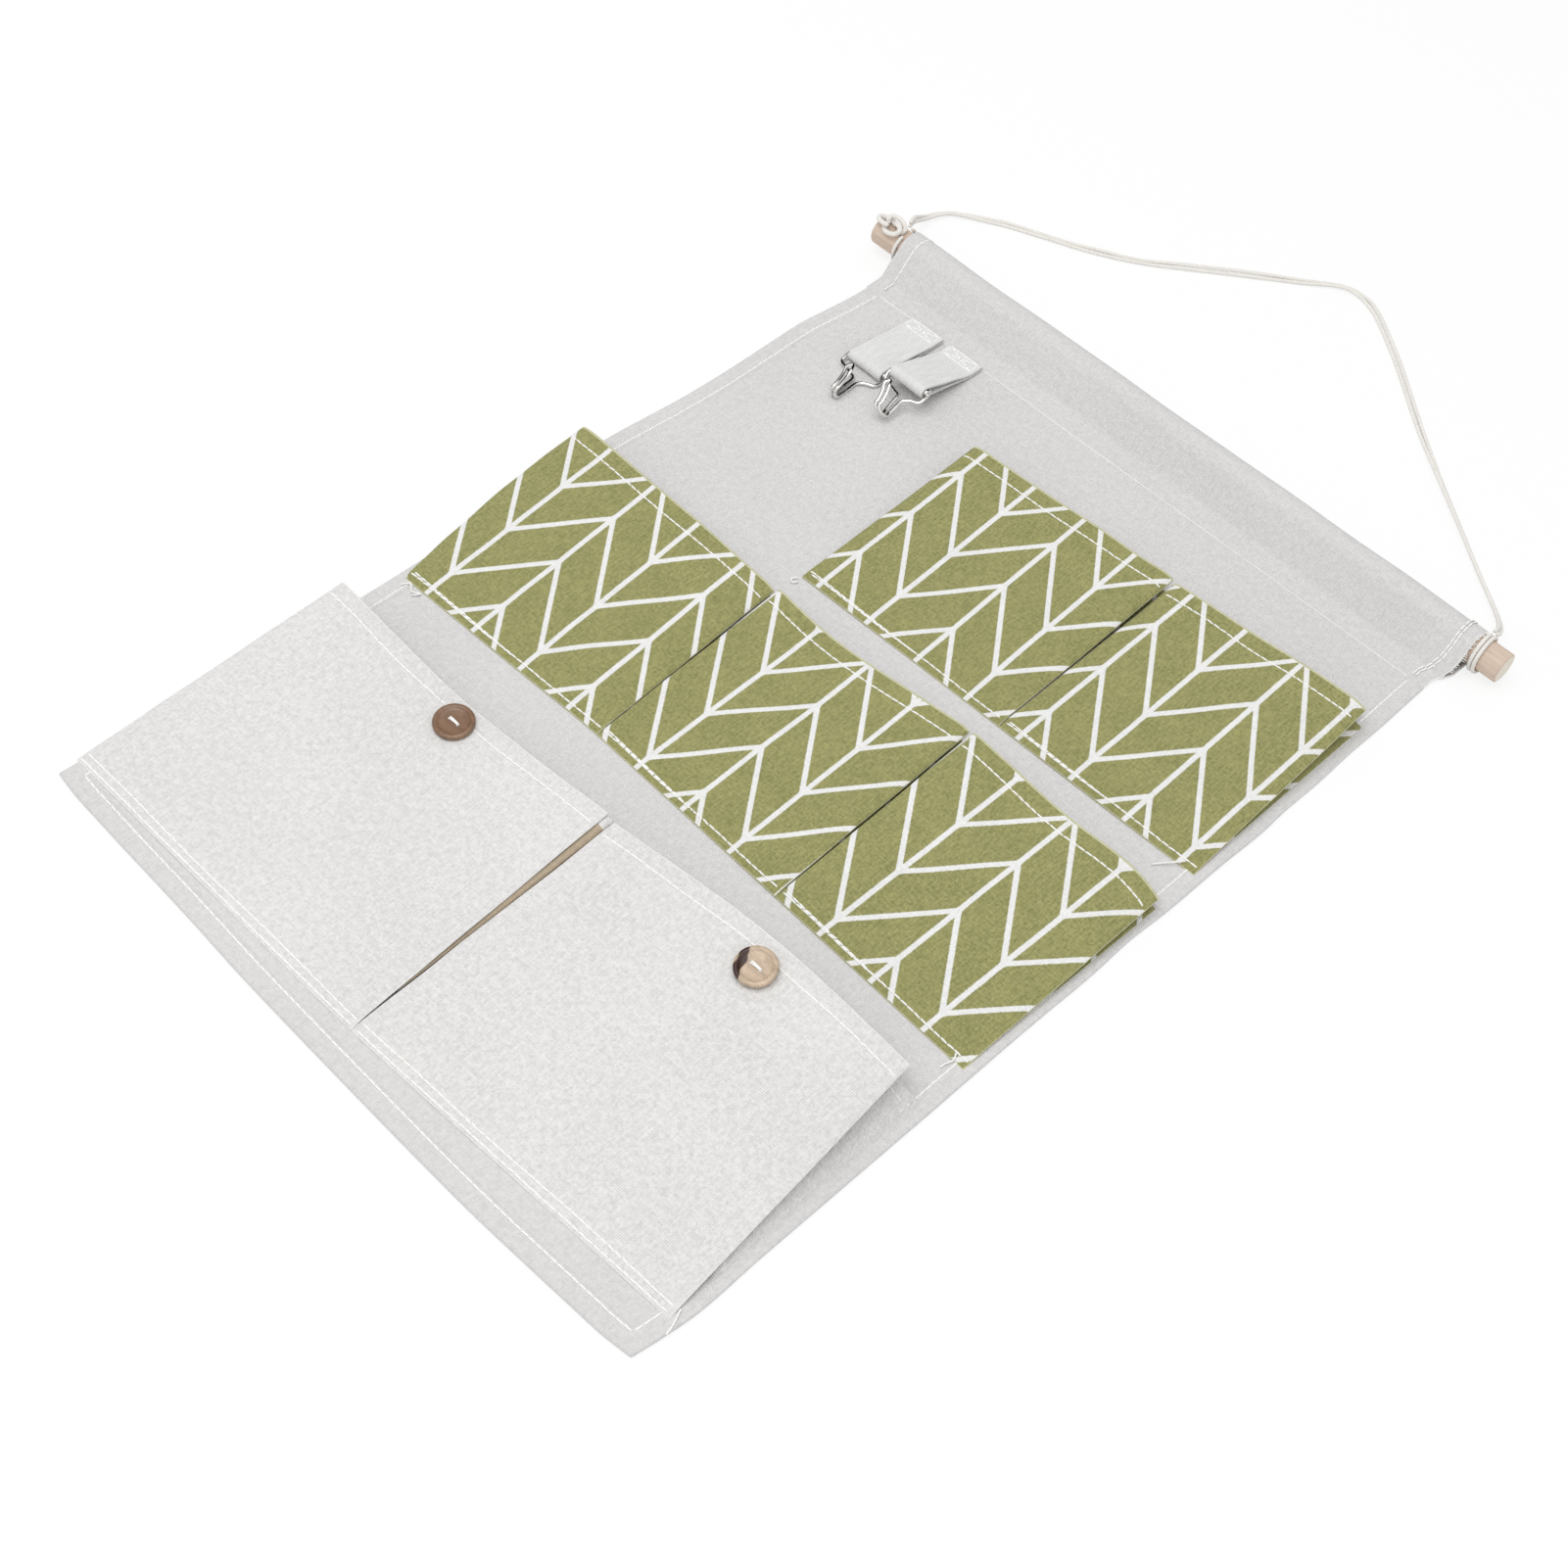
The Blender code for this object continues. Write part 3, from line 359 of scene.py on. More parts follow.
def eased(x, points):
    """Value at x of the smooth curve through the points: cubic pieces, with slopes taken from
    the neighbours."""
    xs, ys = np.asarray(points, float).T
    slope = np.gradient(ys, xs)
    k = np.clip(np.searchsorted(xs, x) - 1, 0, len(xs) - 2)
    width = xs[k + 1] - xs[k]
    t = np.clip((x - xs[k]) / width, 0.0, 1.0)
    return ((2 * t ** 3 - 3 * t ** 2 + 1) * ys[k] + (t ** 3 - 2 * t ** 2 + t) * width * slope[k]
            + (3 * t ** 2 - 2 * t ** 3) * ys[k + 1] + (t ** 3 - t ** 2) * width * slope[k + 1])


def ripple(x, y, seed, wavelength):
    """Uneven soft waves, mostly between −1 and 1: a third of the sum of seven slanting sine
    waves."""
    source = np.random.default_rng(seed)
    total = np.zeros(np.broadcast(x, y).shape)
    for _ in range(7):
        heading, phase = source.uniform(0, 2 * math.pi, 2)
        length = wavelength * source.uniform(0.6, 1.7)
        across = x * math.cos(heading) + y * math.sin(heading)
        total += np.sin(across * 2 * math.pi / length + phase)
    return total / 3.0


def graded(length, cell, margins=(0.0003, 0.0009, 0.0018)):
    """Shares from 0 to 1 along a length: even cells, with finer ones near both ends."""
    inner = np.linspace(margins[-1] + cell, length - margins[-1] - cell,
                        max(3, int((length - 2 * margins[-1]) / cell)))
    spots = np.concatenate([[0.0], margins, inner, length - np.array(margins[::-1]), [length]])
    return spots / length


def run_along(line):
    """How far along a line each of its points is."""
    step = np.linalg.norm(np.diff(line[:, :3], axis=0), axis=1)
    return np.concatenate([[0.0], np.cumsum(step)])


def sampled(spots, run, rows):
    """Rows at the spots along a line, between the rows given at each run."""
    return np.stack([np.interp(spots, run, column) for column in rows.T], axis=1)


def spaced(line, count):
    """Even samples of a line, and how far along it each of them is."""
    run = run_along(line)
    even = np.linspace(0.0, run[-1], count)
    return sampled(even, run, line), even


def smooth_route(points, count, steps=2400):
    """Even samples of the Catmull-Rom curve: cubic pieces that pass through each point."""
    pts = np.asarray(points, dtype=float)
    pts = np.vstack([2 * pts[0] - pts[1], pts, 2 * pts[-1] - pts[-2]])
    t = np.linspace(0.0, len(pts) - 3.0, steps)
    cell = np.minimum(t.astype(int), len(pts) - 4)
    u = (t - cell)[:, None]
    p0, p1, p2, p3 = (pts[cell + k] for k in range(4))
    curve = 0.5 * (2 * p1 + (p2 - p0) * u + (2 * p0 - 5 * p1 + 4 * p2 - p3) * u ** 2
                   + (3 * p1 - p0 - 3 * p2 + p3) * u ** 3)
    return spaced(curve, count)[0]


def turned(points, angle, axis, centre=(0, 0, 0)):
    """Points turned by an angle about an axis (0, 1 or 2) through a centre."""
    c, s = math.cos(angle), math.sin(angle)
    a, b = ((1, 2), (2, 0), (0, 1))[axis]
    out = np.array(points, float) - centre
    low, high = out[..., a].copy(), out[..., b].copy()
    out[..., a] = c * low - s * high
    out[..., b] = s * low + c * high
    return out + centre


def on_row(points, row):
    """Points of a row's own frame, turned and moved to the panel."""
    x, y, tilt = ROWS[row]
    return turned(points, tilt, 2) + (x, y, 0)


def unit(vectors):
    """Vectors of length 1."""
    return vectors / np.maximum(np.linalg.norm(vectors, axis=-1, keepdims=True), 1e-12)


def surface_normals(points):
    """Unit normals of a grid: the cross product of its column and row differences."""
    across = np.gradient(points, axis=1)
    up = np.gradient(points, axis=0)
    return unit(np.cross(across, up))


class Shell:
    """Grids and fans gathered into one mesh, with coordinates for each face corner."""

    def __init__(self):
        self.points, self.faces, self.corners, self.marks = [], [], [], []
        self.count = 0

    def add_points(self, points):
        """Append points and return the index of the first."""
        start = self.count
        points = np.asarray(points, float).reshape(-1, 3)
        self.points.append(points)
        self.count += len(points)
        return start

    def add_faces(self, faces, uv, mark=0):
        """Append faces with one coordinate row for each corner."""
        self.faces.extend(np.asarray(faces).tolist())
        self.corners.append(np.asarray(uv, float).reshape(-1, np.shape(uv)[-1]))
        self.marks.extend([mark] * len(faces))

    def add_grid(self, points, uv, wrap=False, flip=False, mark=0):
        """A grid of quads; with wrap the last column joins the first, and uv has one more."""
        rows, cols = points.shape[:2]
        start = self.add_points(points)
        i, j = np.meshgrid(np.arange(rows - 1), np.arange(cols if wrap else cols - 1),
                           indexing="ij")
        i, j = i.ravel(), j.ravel()
        near = np.stack([i * cols + j, i * cols + (j + 1) % cols,
                         (i + 1) * cols + (j + 1) % cols, (i + 1) * cols + j], axis=1) + start
        at = np.stack([uv[i, j], uv[i, j + 1], uv[i + 1, j + 1], uv[i + 1, j]], axis=1)
        if flip:
            near, at = near[:, ::-1], at[:, ::-1]
        self.add_faces(near, at, mark)
        return start

    def add_fan(self, ring, centre, uv, flip=False, mark=0):
        """Close a ring of vertex indices with triangles to a centre point."""
        middle = self.add_points([centre])
        ring = np.asarray(ring)
        after = np.roll(ring, -1)
        faces = np.stack([ring, after, np.full(len(ring), middle)], axis=1)
        if flip:
            faces = faces[:, ::-1]
        self.add_faces(faces, np.broadcast_to(uv, (len(ring), 3, len(uv))), mark)

    def remark(self, shape, rows, cols, mark):
        """Give another material to some rows and columns of the quads of the first grid."""
        marks = np.array(self.marks)
        tall, wide = shape[0] - 1, shape[1] - 1
        marks[:tall * wide].reshape(tall, wide)[rows, cols] = mark
        self.marks = marks.tolist()

    def build(self, name, materials, maps=("weave",)):
        """Make the object; coordinate columns go in pairs into the named maps."""
        mesh = bpy.data.meshes.new(name)
        mesh.from_pydata(np.vstack(self.points) + CORNER, [], self.faces)
        corners = np.vstack(self.corners)
        for k, word in enumerate(maps):
            layer = mesh.uv_layers.new(name=word)
            layer.data.foreach_set("uv", corners[:, 2 * k:2 * k + 2].astype(np.float32).ravel())
        for material in materials:
            mesh.materials.append(material)
        mesh.polygons.foreach_set("material_index", self.marks)
        mesh.polygons.foreach_set("use_smooth", [True] * len(mesh.polygons))
        mesh.validate()
        mesh.update()
        return add_object(name, mesh)


def add_object(name, data):
    """A new object, put in the scene."""
    made = bpy.data.objects.new(name, data)
    bpy.context.scene.collection.objects.link(made)
    return made


def apply_modifiers(piece):
    """Give the piece the mesh that its modifiers make of it, and return that mesh."""
    bpy.context.view_layer.update()
    shaped = piece.evaluated_get(bpy.context.evaluated_depsgraph_get())
    mesh = bpy.data.meshes.new_from_object(shaped)
    piece.modifiers.clear()
    piece.data = mesh
    return mesh


def add_cloth(shell, face, thickness, uv, mark=0, rim=None):
    """A closed sheet: the face, its offset by the thickness against the normals, and a round rim.

    The rim's middle line lies half way between the two and stands out by a third of the thickness.
    """
    rim = mark if rim is None else rim
    rows, cols = face.shape[:2]
    thick = np.broadcast_to(thickness, (rows, cols))[..., None]
    back = face - surface_normals(face) * thick
    front_at = shell.add_grid(face, uv, mark=mark)
    back_at = shell.add_grid(back, uv, flip=True, mark=mark)
    i = np.concatenate([np.zeros(cols - 1, int), np.arange(rows - 1),
                        np.full(cols - 1, rows - 1), np.arange(rows - 1, 0, -1)])
    j = np.concatenate([np.arange(cols - 1), np.full(rows - 1, cols - 1),
                        np.arange(cols - 1, 0, -1), np.zeros(rows - 1, int)])
    inner_i, inner_j = np.clip(i, 1, rows - 2), np.clip(j, 1, cols - 2)
    outward = unit(face[i, j] - face[inner_i, inner_j])
    middle = (face[i, j] + back[i, j]) / 2 + outward * thick[i, j] / 3
    mid = shell.add_points(middle) + np.arange(len(i))
    top, low = front_at + i * cols + j, back_at + i * cols + j
    at = uv[i, j]
    pair = np.stack([at, np.roll(at, -1, axis=0), np.roll(at, -1, axis=0), at], axis=1)
    shell.add_faces(np.stack([mid, np.roll(mid, -1), np.roll(top, -1), top], axis=1), pair, rim)
    shell.add_faces(np.stack([low, np.roll(low, -1), np.roll(mid, -1), mid], axis=1), pair, rim)


def carried_frames(path):
    """Direction, side and up along a path; the side is carried on without twisting."""
    along = unit(np.gradient(path, axis=0))
    first = np.cross(along[0], (0, 0, 1) if abs(along[0][2]) < 0.9 else (1, 0, 0))
    side = np.empty_like(path)
    side[0] = unit(first)
    for k in range(len(path) - 1):
        side[k + 1] = unit(side[k] - along[k + 1] * (side[k] @ along[k + 1]))
    return along, side, np.cross(along, side)


def add_rope(shell, path, radius, sides=15, plies=0, lay=1.0, depth=0.30, mark=0):
    """A round profile carried along a path, with closed ends.

    With plies, the radius at an angle is less by the depth times 1 − |cos| of half the plies
    times the angle, and the profile turns once for each lay length, as twisted yarns do.
    """
    along, side, up = carried_frames(path)
    run = run_along(path)[:, None]
    angle = np.arange(sides)[None] * 2 * math.pi / sides
    reach = np.full((len(path), sides), float(radius))
    if plies:
        lobes = np.abs(np.cos(plies * (angle - 2 * math.pi * run / lay) / 2))
        reach *= 1 - depth * (1 - lobes ** 0.8)
    ends = np.minimum(run, run[-1] - run) / radius
    reach *= np.sqrt(np.clip(1 - (1 - np.clip(ends, 0, 1)) ** 2, 0.12, 1))
    points = path[:, None] + reach[..., None] * (np.cos(angle)[..., None] * side[:, None]
                                                  + np.sin(angle)[..., None] * up[:, None])
    round_share = np.arange(sides + 1)[None] / sides - run / lay * (1 if plies else 0)
    uv = np.stack([round_share, np.broadcast_to(run, (len(path), sides + 1))], axis=-1)
    start = shell.add_grid(points, uv, wrap=True, flip=True, mark=mark)
    last = start + (len(path) - 1) * sides
    shell.add_fan(start + np.arange(sides), path[0] - along[0] * radius * 0.1, (0.5, 0), mark=mark)
    shell.add_fan(last + np.arange(sides), path[-1] + along[-1] * radius * 0.1, (0.5, 0),
                  flip=True, mark=mark)


def add_stitches(shell, points, normals, stitch=STITCH, seed=1, mark=0):
    """A row of sewn stitches: one small barrel after the other along a line on a surface.

    Each barrel is six rings of six points, low and narrow at its two ends. Its length, the space
    to the next, its width and its height come from stitch.
    """
    length, space, width, height = stitch
    run = run_along(points)
    count = max(1, int((run[-1] + space) / (length + space)))
    centre = (np.arange(count) + 0.5) * (length + space)
    centre += (run[-1] - count * (length + space)) / 2
    at = sampled(centre, run, points)
    up = unit(sampled(centre, run, normals))
    along = unit(sampled(centre, run, np.gradient(points, axis=0)))
    side = unit(np.cross(up, along))
    wander = np.random.default_rng(seed).normal(0, 0.05, (count, 2))
    along = unit(along + side * wander[:, :1])
    share, size, lift = (np.array(row)[:, None] for row in (STITCH_SHARE, STITCH_SIZE, STITCH_LIFT))
    rings, sides = len(share), 6
    angle = np.arange(sides) * math.pi / 3
    a = np.repeat(share, sides, 1) * length
    b = size * np.cos(angle)[None] * width / 2
    c = size * np.sin(angle)[None] * height / 2 + lift * height / 2
    barrels = (at[:, None, None] + a[None, ..., None] * along[:, None, None]
               + b[None, ..., None] * side[:, None, None] + c[None, ..., None] * up[:, None, None])
    start = shell.add_points(barrels)
    i, j = np.meshgrid(np.arange(rings - 1), np.arange(sides), indexing="ij")
    i, j = i.ravel(), j.ravel()
    after = (j + 1) % sides
    quad = np.stack([i * sides + j, (i + 1) * sides + j, (i + 1) * sides + after,
                     i * sides + after], axis=1)
    base = start + np.arange(count)[:, None, None] * rings * sides
    faces = (quad[None] + base).reshape(-1, 4)[:, ::-1]
    cell_uv = np.stack([np.stack([j, i], 1), np.stack([j, i + 1], 1),
                        np.stack([j + 1, i + 1], 1), np.stack([j + 1, i], 1)], axis=1)
    cell_uv = np.broadcast_to(cell_uv[:, ::-1] / sides, (count, *cell_uv.shape))
    shell.add_faces(faces, cell_uv.reshape(-1, 4, 2), mark)
    cap = np.arange(sides)
    last = (rings - 1) * sides
    lids = np.concatenate([(cap[None] + base[:, 0]), (cap[::-1][None] + last + base[:, 0])])
    shell.add_faces(lids, np.zeros((len(lids), sides, 2)), mark)


def surface_line(surface, u, v):
    """Points and normals along a line (u, v) on a surface function, by small differences."""
    h = 1e-3
    across = surface(u + h, v) - surface(u - h, v)
    up = surface(u, v + h) - surface(u, v - h)
    return surface(u, v), unit(np.cross(across, up))


# ---------------------------------------------------------------- materials

def node(tree, kind, inputs=None, **settings):
    """Add a node. Inputs map a socket's name or number to a value or to another socket."""
    new = tree.nodes.new(kind)
    for key, value in settings.items():
        setattr(new, key, value)
    for key, value in (inputs or {}).items():
        if isinstance(value, bpy.types.NodeSocket):
            tree.links.new(value, new.inputs[key])
        else:
            new.inputs[key].default_value = value
    return new


def calc(tree, operation, *values, clamp=False):
    """One sum of a Math node, and its result's socket."""
    return node(tree, "ShaderNodeMath", dict(enumerate(values)), operation=operation,
                use_clamp=clamp).outputs[0]


def vector_calc(tree, operation, first, second):
    """One sum of a Vector Math node, and its result's socket."""
    return node(tree, "ShaderNodeVectorMath", {0: first, 1: second},
                operation=operation).outputs[0]


def scaled(tree, coords, scale):
    """Coordinates times a scale for each axis."""
    return vector_calc(tree, "MULTIPLY", coords, scale)


def noise(tree, coords, scale, detail=2.0, roughness=0.5):
    """Noise on scaled coordinates, about 0.5 on average."""
    return node(tree, "ShaderNodeTexNoise",
                {"Vector": scaled(tree, coords, scale), "Scale": 1.0, "Detail": detail,
                 "Roughness": roughness}).outputs["Fac"]


def mixed(tree, share, low, high):
    """Colour between two colours."""
    return node(tree, "ShaderNodeMix", {0: share, 6: low, 7: high}, data_type="RGBA").outputs[2]


def toned(tree, start, *parts):
    """Start plus, for each part, its weight times what it is over its middle; the sum is held
    between 0 and 1."""
    tone = start
    for k, (value, middle, weight) in enumerate(parts, 1):
        over = calc(tree, "SUBTRACT", value, middle) if middle else value
        tone = calc(tree, "MULTIPLY_ADD", over, weight, tone, clamp=k == len(parts))
    return tone


def ranged(tree, value, low, high, to_low=0.0, to_high=1.0):
    """Value carried from one range to another, and held inside it."""
    return node(tree, "ShaderNodeMapRange",
                {"Value": value, "From Min": low, "From Max": high, "To Min": to_low,
                 "To Max": to_high}).outputs["Result"]


def shade(colour, share):
    """A colour made darker or lighter by a share, as a four part value."""
    return (*(min(1.0, max(0.0, c * share)) for c in colour[:3]), 1.0)


def new_material(name, roughness=0.9, **values):
    """A material with its shader; constants go straight on the shader's sockets."""
    material = bpy.data.materials.new(name)
    material.use_nodes = True
    tree = material.node_tree
    shader = tree.nodes["Principled BSDF"]
    shader.inputs["Roughness"].default_value = roughness
    for key, value in values.items():
        shader.inputs[key.replace("_", " ")].default_value = value
    return material, tree, shader


def finish_material(tree, shader, colour, height, strength, distance, roughness=None):
    """Link colour, bump and roughness to the shader."""
    tree.links.new(colour, shader.inputs["Base Color"])
    if roughness is not None:
        tree.links.new(roughness, shader.inputs["Roughness"])
    bump = node(tree, "ShaderNodeBump", {"Strength": strength, "Distance": distance,
                                         "Height": height})
    tree.links.new(bump.outputs[0], shader.inputs["Normal"])


def map_coords(tree, word):
    """The piece's own map of that name."""
    return node(tree, "ShaderNodeUVMap", uv_map=word).outputs[0]


def bare_tree(data):
    """The node tree of a material or of the world, with nothing in it yet."""
    data.use_nodes = True
    data.node_tree.nodes.clear()
    return data.node_tree


def plain_weave(tree, coords, pitch):
    """Height of a plain weave, 0 to 1: where the thread counts' parity is even the warp lies over
    the weft, and where it is odd the weft lies over the warp; each thread is half a sine wave."""
    threads = scaled(tree, coords, (1 / pitch, 1 / pitch, 1))
    parts = node(tree, "ShaderNodeSeparateXYZ", {0: threads}).outputs
    warp, weft = (calc(tree, "ABSOLUTE", calc(tree, "SINE", calc(tree, "MULTIPLY", part, math.pi)))
                  for part in (parts[0], parts[1]))
    parity = node(tree, "ShaderNodeTexChecker", {"Vector": threads, "Scale": 1.0}).outputs["Fac"]
    over, under = (calc(tree, "MULTIPLY", calc(tree, "POWER", top, 0.6),
                        calc(tree, "MULTIPLY_ADD", low, 0.5, 0.5))
                   for top, low in ((warp, weft), (weft, warp)))
    return node(tree, "ShaderNodeMix", {0: parity, 2: over, 3: under}).outputs[0]


def thread_tones(tree, coords, fine=1000.0, long=190.0):
    """Uneven yarns, about 0.5 on average: noise drawn out along the warp, which weighs more, plus
    noise drawn out along the weft."""
    warp = noise(tree, coords, (fine, long, 1.0), 2.0)
    weft = noise(tree, coords, (long, fine * 1.2, 1.0), 2.0)
    return calc(tree, "MULTIPLY_ADD", warp, 0.6, calc(tree, "MULTIPLY", weft, 0.4))


def canvas_material(name, colour, pitch, contrast=0.10, bump=0.6):
    """Plain woven canvas: uneven yarns, slubs, a soft cloudiness and the weave's relief."""
    material, tree, shader = new_material(name, 0.92, Sheen_Weight=0.12, Sheen_Roughness=0.5,
                                          Specular_IOR_Level=0.25)
    coords = map_coords(tree, "weave")
    weave = plain_weave(tree, coords, pitch)
    yarn = thread_tones(tree, coords)
    slub = ranged(tree, noise(tree, coords, (1100.0, 120.0, 1.0), 1.0), 0.66, 0.78)
    cross = ranged(tree, noise(tree, coords, (110.0, 1200.0, 1.0), 1.0), 0.66, 0.78)
    fleck = noise(tree, coords, (700.0, 700.0, 1.0), 2.0)
    cloud = noise(tree, coords, (14.0, 14.0, 1.0), 3.0)
    mottle = noise(tree, coords, (320.0, 320.0, 1.0), 2.0)
    slubs = calc(tree, "ADD", slub, cross)
    tone = toned(tree, 0.5, (yarn, 0.5, 1.7), (fleck, 0.5, 1.6), (mottle, 0.5, 1.2),
                 (weave, 0.55, 0.7), (cloud, 0.5, 0.6), (slubs, 0, 0.5))
    tint = mixed(tree, tone, shade(colour, 1 - contrast), shade(colour, 1 + contrast))
    height = calc(tree, "MULTIPLY_ADD", yarn, 0.8, weave)
    height = calc(tree, "MULTIPLY_ADD", slubs, 0.5, height)
    finish_material(tree, shader, tint, height, bump, pitch * 0.35)
    return material


def printed_material(name, settings, pitch):
    """Canvas printed with a chevron lattice.

    The print map counts spines and branches. A spine is where the first count is whole; a branch
    is where the second count, less the climb times the distance from the even spine, is whole.
    """
    material, tree, shader = new_material(name, 0.9, Sheen_Weight=0.10, Sheen_Roughness=0.5,
                                          Specular_IOR_Level=0.25)
    coords = map_coords(tree, "weave")
    lattice = map_coords(tree, "print")
    stray = noise(tree, coords, (1500.0, 1500.0, 1.0), 1.0)
    counts = node(tree, "ShaderNodeSeparateXYZ", {0: lattice}).outputs
    share = calc(tree, "PINGPONG", counts[0], 1.0)
    spine = calc(tree, "MULTIPLY", calc(tree, "PINGPONG", counts[0], 0.5), settings.spine)
    rise = settings.climb * settings.repeat
    square = settings.repeat * settings.spine / math.hypot(rise, settings.spine)
    branch = calc(tree, "MULTIPLY_ADD", share, -settings.climb, counts[1])
    branch = calc(tree, "MULTIPLY", calc(tree, "PINGPONG", branch, 0.5), square)
    near = calc(tree, "SMOOTH_MIN", spine, branch, 0.0009)
    near = calc(tree, "MULTIPLY_ADD", calc(tree, "SUBTRACT", stray, 0.5), 0.0007, near)
    half = settings.width / 2
    ink = ranged(tree, near, half - 0.0001, half + 0.0003)
    weave = plain_weave(tree, coords, pitch)
    yarn = thread_tones(tree, coords)
    fleck = noise(tree, coords, (760.0, 760.0, 1.0), 2.0)
    cloud = noise(tree, coords, (60.0, 60.0, 1.0), 3.0)
    tone = toned(tree, 0.5, (yarn, 0.5, 2.4), (weave, 0.55, 0.7), (fleck, 0.5, 1.8),
                 (cloud, 0.5, 0.6))
    dark, light = (0.215, 0.222, 0.084, 1.0), shade(settings.green, 1.30)
    ground = mixed(tree, tone, dark, light)
    line = mixed(tree, tone, shade(settings.line, 0.90), shade(settings.line, 1.06))
    tint = mixed(tree, ink, line, ground)
    height = calc(tree, "MULTIPLY_ADD", yarn, 0.8, weave)
    finish_material(tree, shader, tint, height, 0.5, pitch * 0.35)
    return material


def cord_material(name, colour):
    """Twisted cotton: fibres that run along the plies."""
    material, tree, shader = new_material(name, 0.95, Sheen_Weight=0.25, Sheen_Roughness=0.45,
                                          Specular_IOR_Level=0.2)
    coords = map_coords(tree, "weave")
    fibre = noise(tree, coords, (60.0, 900.0, 1.0), 3.0, 0.6)
    fuzz = noise(tree, coords, (24.0, 3000.0, 1.0), 2.0)
    cloud = noise(tree, coords, (2.0, 60.0, 1.0), 2.0)
    tone = toned(tree, 0.5, (fibre, 0.5, 1.2), (cloud, 0.5, 0.8))
    tint = mixed(tree, tone, shade(colour, 0.86), shade(colour, 1.08))
    height = calc(tree, "ADD", fibre, fuzz)
    finish_material(tree, shader, tint, height, 0.5, 0.00012)
    return material


def webbing_material(name, colour):
    """Woven tape: lengthwise ribs, each crossed by fine slanting yarns."""
    material, tree, shader = new_material(name, 0.88, Sheen_Weight=0.12, Sheen_Roughness=0.5,
                                          Specular_IOR_Level=0.25)
    coords = map_coords(tree, "weave")
    parts = node(tree, "ShaderNodeSeparateXYZ", {0: coords}).outputs
    rib_pitch, yarn_pitch = 0.00105, 0.0007
    across = calc(tree, "MULTIPLY", parts[0], math.pi / rib_pitch)
    rib = calc(tree, "POWER", calc(tree, "ABSOLUTE", calc(tree, "SINE", across)), 0.6)
    slant = calc(tree, "MULTIPLY_ADD", parts[1], 2 * math.pi / yarn_pitch, across)
    yarn = calc(tree, "MULTIPLY_ADD", calc(tree, "SINE", slant), 0.5, 0.5)
    wear = noise(tree, coords, (900.0, 90.0, 1.0), 3.0)
    tone = calc(tree, "MULTIPLY_ADD", yarn, 0.25, calc(tree, "MULTIPLY", rib, 0.45))
    tone = toned(tree, tone, (wear, 0.5, 0.9))
    tint = mixed(tree, tone, shade(colour, 0.78), shade(colour, 1.10))
    height = calc(tree, "MULTIPLY_ADD", yarn, 0.25, rib)
    finish_material(tree, shader, tint, height, 0.7, 0.00022)
    return material


def thread_material(name, colour):
    """Spun sewing thread: a fine slanting twist."""
    material, tree, shader = new_material(name, 0.8, Sheen_Weight=0.2, Specular_IOR_Level=0.3)
    coords = map_coords(tree, "weave")
    twist = noise(tree, coords, (9.0, 5.0, 1.0), 2.0)
    tint = mixed(tree, twist, shade(colour, 0.92), shade(colour, 1.04))
    finish_material(tree, shader, tint, twist, 0.3, 0.00008)
    return material


def wood_material(name, colour):
    """Side grain: fine dark pores and soft bands drawn out along the dowel."""
    material, tree, shader = new_material(name, 0.62, Specular_IOR_Level=0.35)
    coords = node(tree, "ShaderNodeTexCoord").outputs["Object"]
    bands = noise(tree, coords, (6.0, 260.0, 260.0), 4.0, 0.6)
    pores = ranged(tree, noise(tree, coords, (110.0, 2600.0, 2600.0), 2.0), 0.62, 0.72)
    knots = noise(tree, coords, (18.0, 60.0, 60.0), 2.0)
    tone = toned(tree, 0.55, (bands, 0.5, 1.5), (knots, 0.5, 0.7), (pores, 0, -0.5))
    tint = mixed(tree, tone, shade(colour, 0.66), shade(colour, 1.12))
    rough = ranged(tree, tone, 0.0, 1.0, 0.75, 0.5)
    height = calc(tree, "MULTIPLY_ADD", pores, -1.0, bands)
    finish_material(tree, shader, tint, height, 0.4, 0.00015, rough)
    return material


def end_grain_material(name, colour):
    """Sawn end: growth rings about a point beside the axis, crossed by fine saw marks."""
    material, tree, shader = new_material(name, 0.8, Specular_IOR_Level=0.25)
    coords = node(tree, "ShaderNodeTexCoord").outputs["Object"]
    heart = (0.0, CORNER[1] + DOWEL_Y - 0.004, DOWEL_Z + 0.006)
    ring_pitch = 0.0016
    flat = scaled(tree, vector_calc(tree, "SUBTRACT", coords, heart), (0.0, 1.0, 1.0))
    far = node(tree, "ShaderNodeVectorMath", {0: flat}, operation="LENGTH").outputs["Value"]
    stray = noise(tree, coords, (200.0, 200.0, 200.0), 2.0)
    turns = calc(tree, "MULTIPLY", far, 2 * math.pi / ring_pitch)
    phase = calc(tree, "MULTIPLY_ADD", stray, 2.2, turns)
    rings = calc(tree, "MULTIPLY_ADD", calc(tree, "SINE", phase), 0.5, 0.5)
    saw = noise(tree, coords, (1.0, 400.0, 3800.0), 2.0)
    tone = calc(tree, "MULTIPLY_ADD", rings, 0.4, calc(tree, "MULTIPLY", saw, 0.7), clamp=True)
    tint = mixed(tree, tone, shade(colour, 0.80), shade(colour, 1.16))
    finish_material(tree, shader, tint, calc(tree, "ADD", rings, saw), 0.4, 0.0001)
    return material


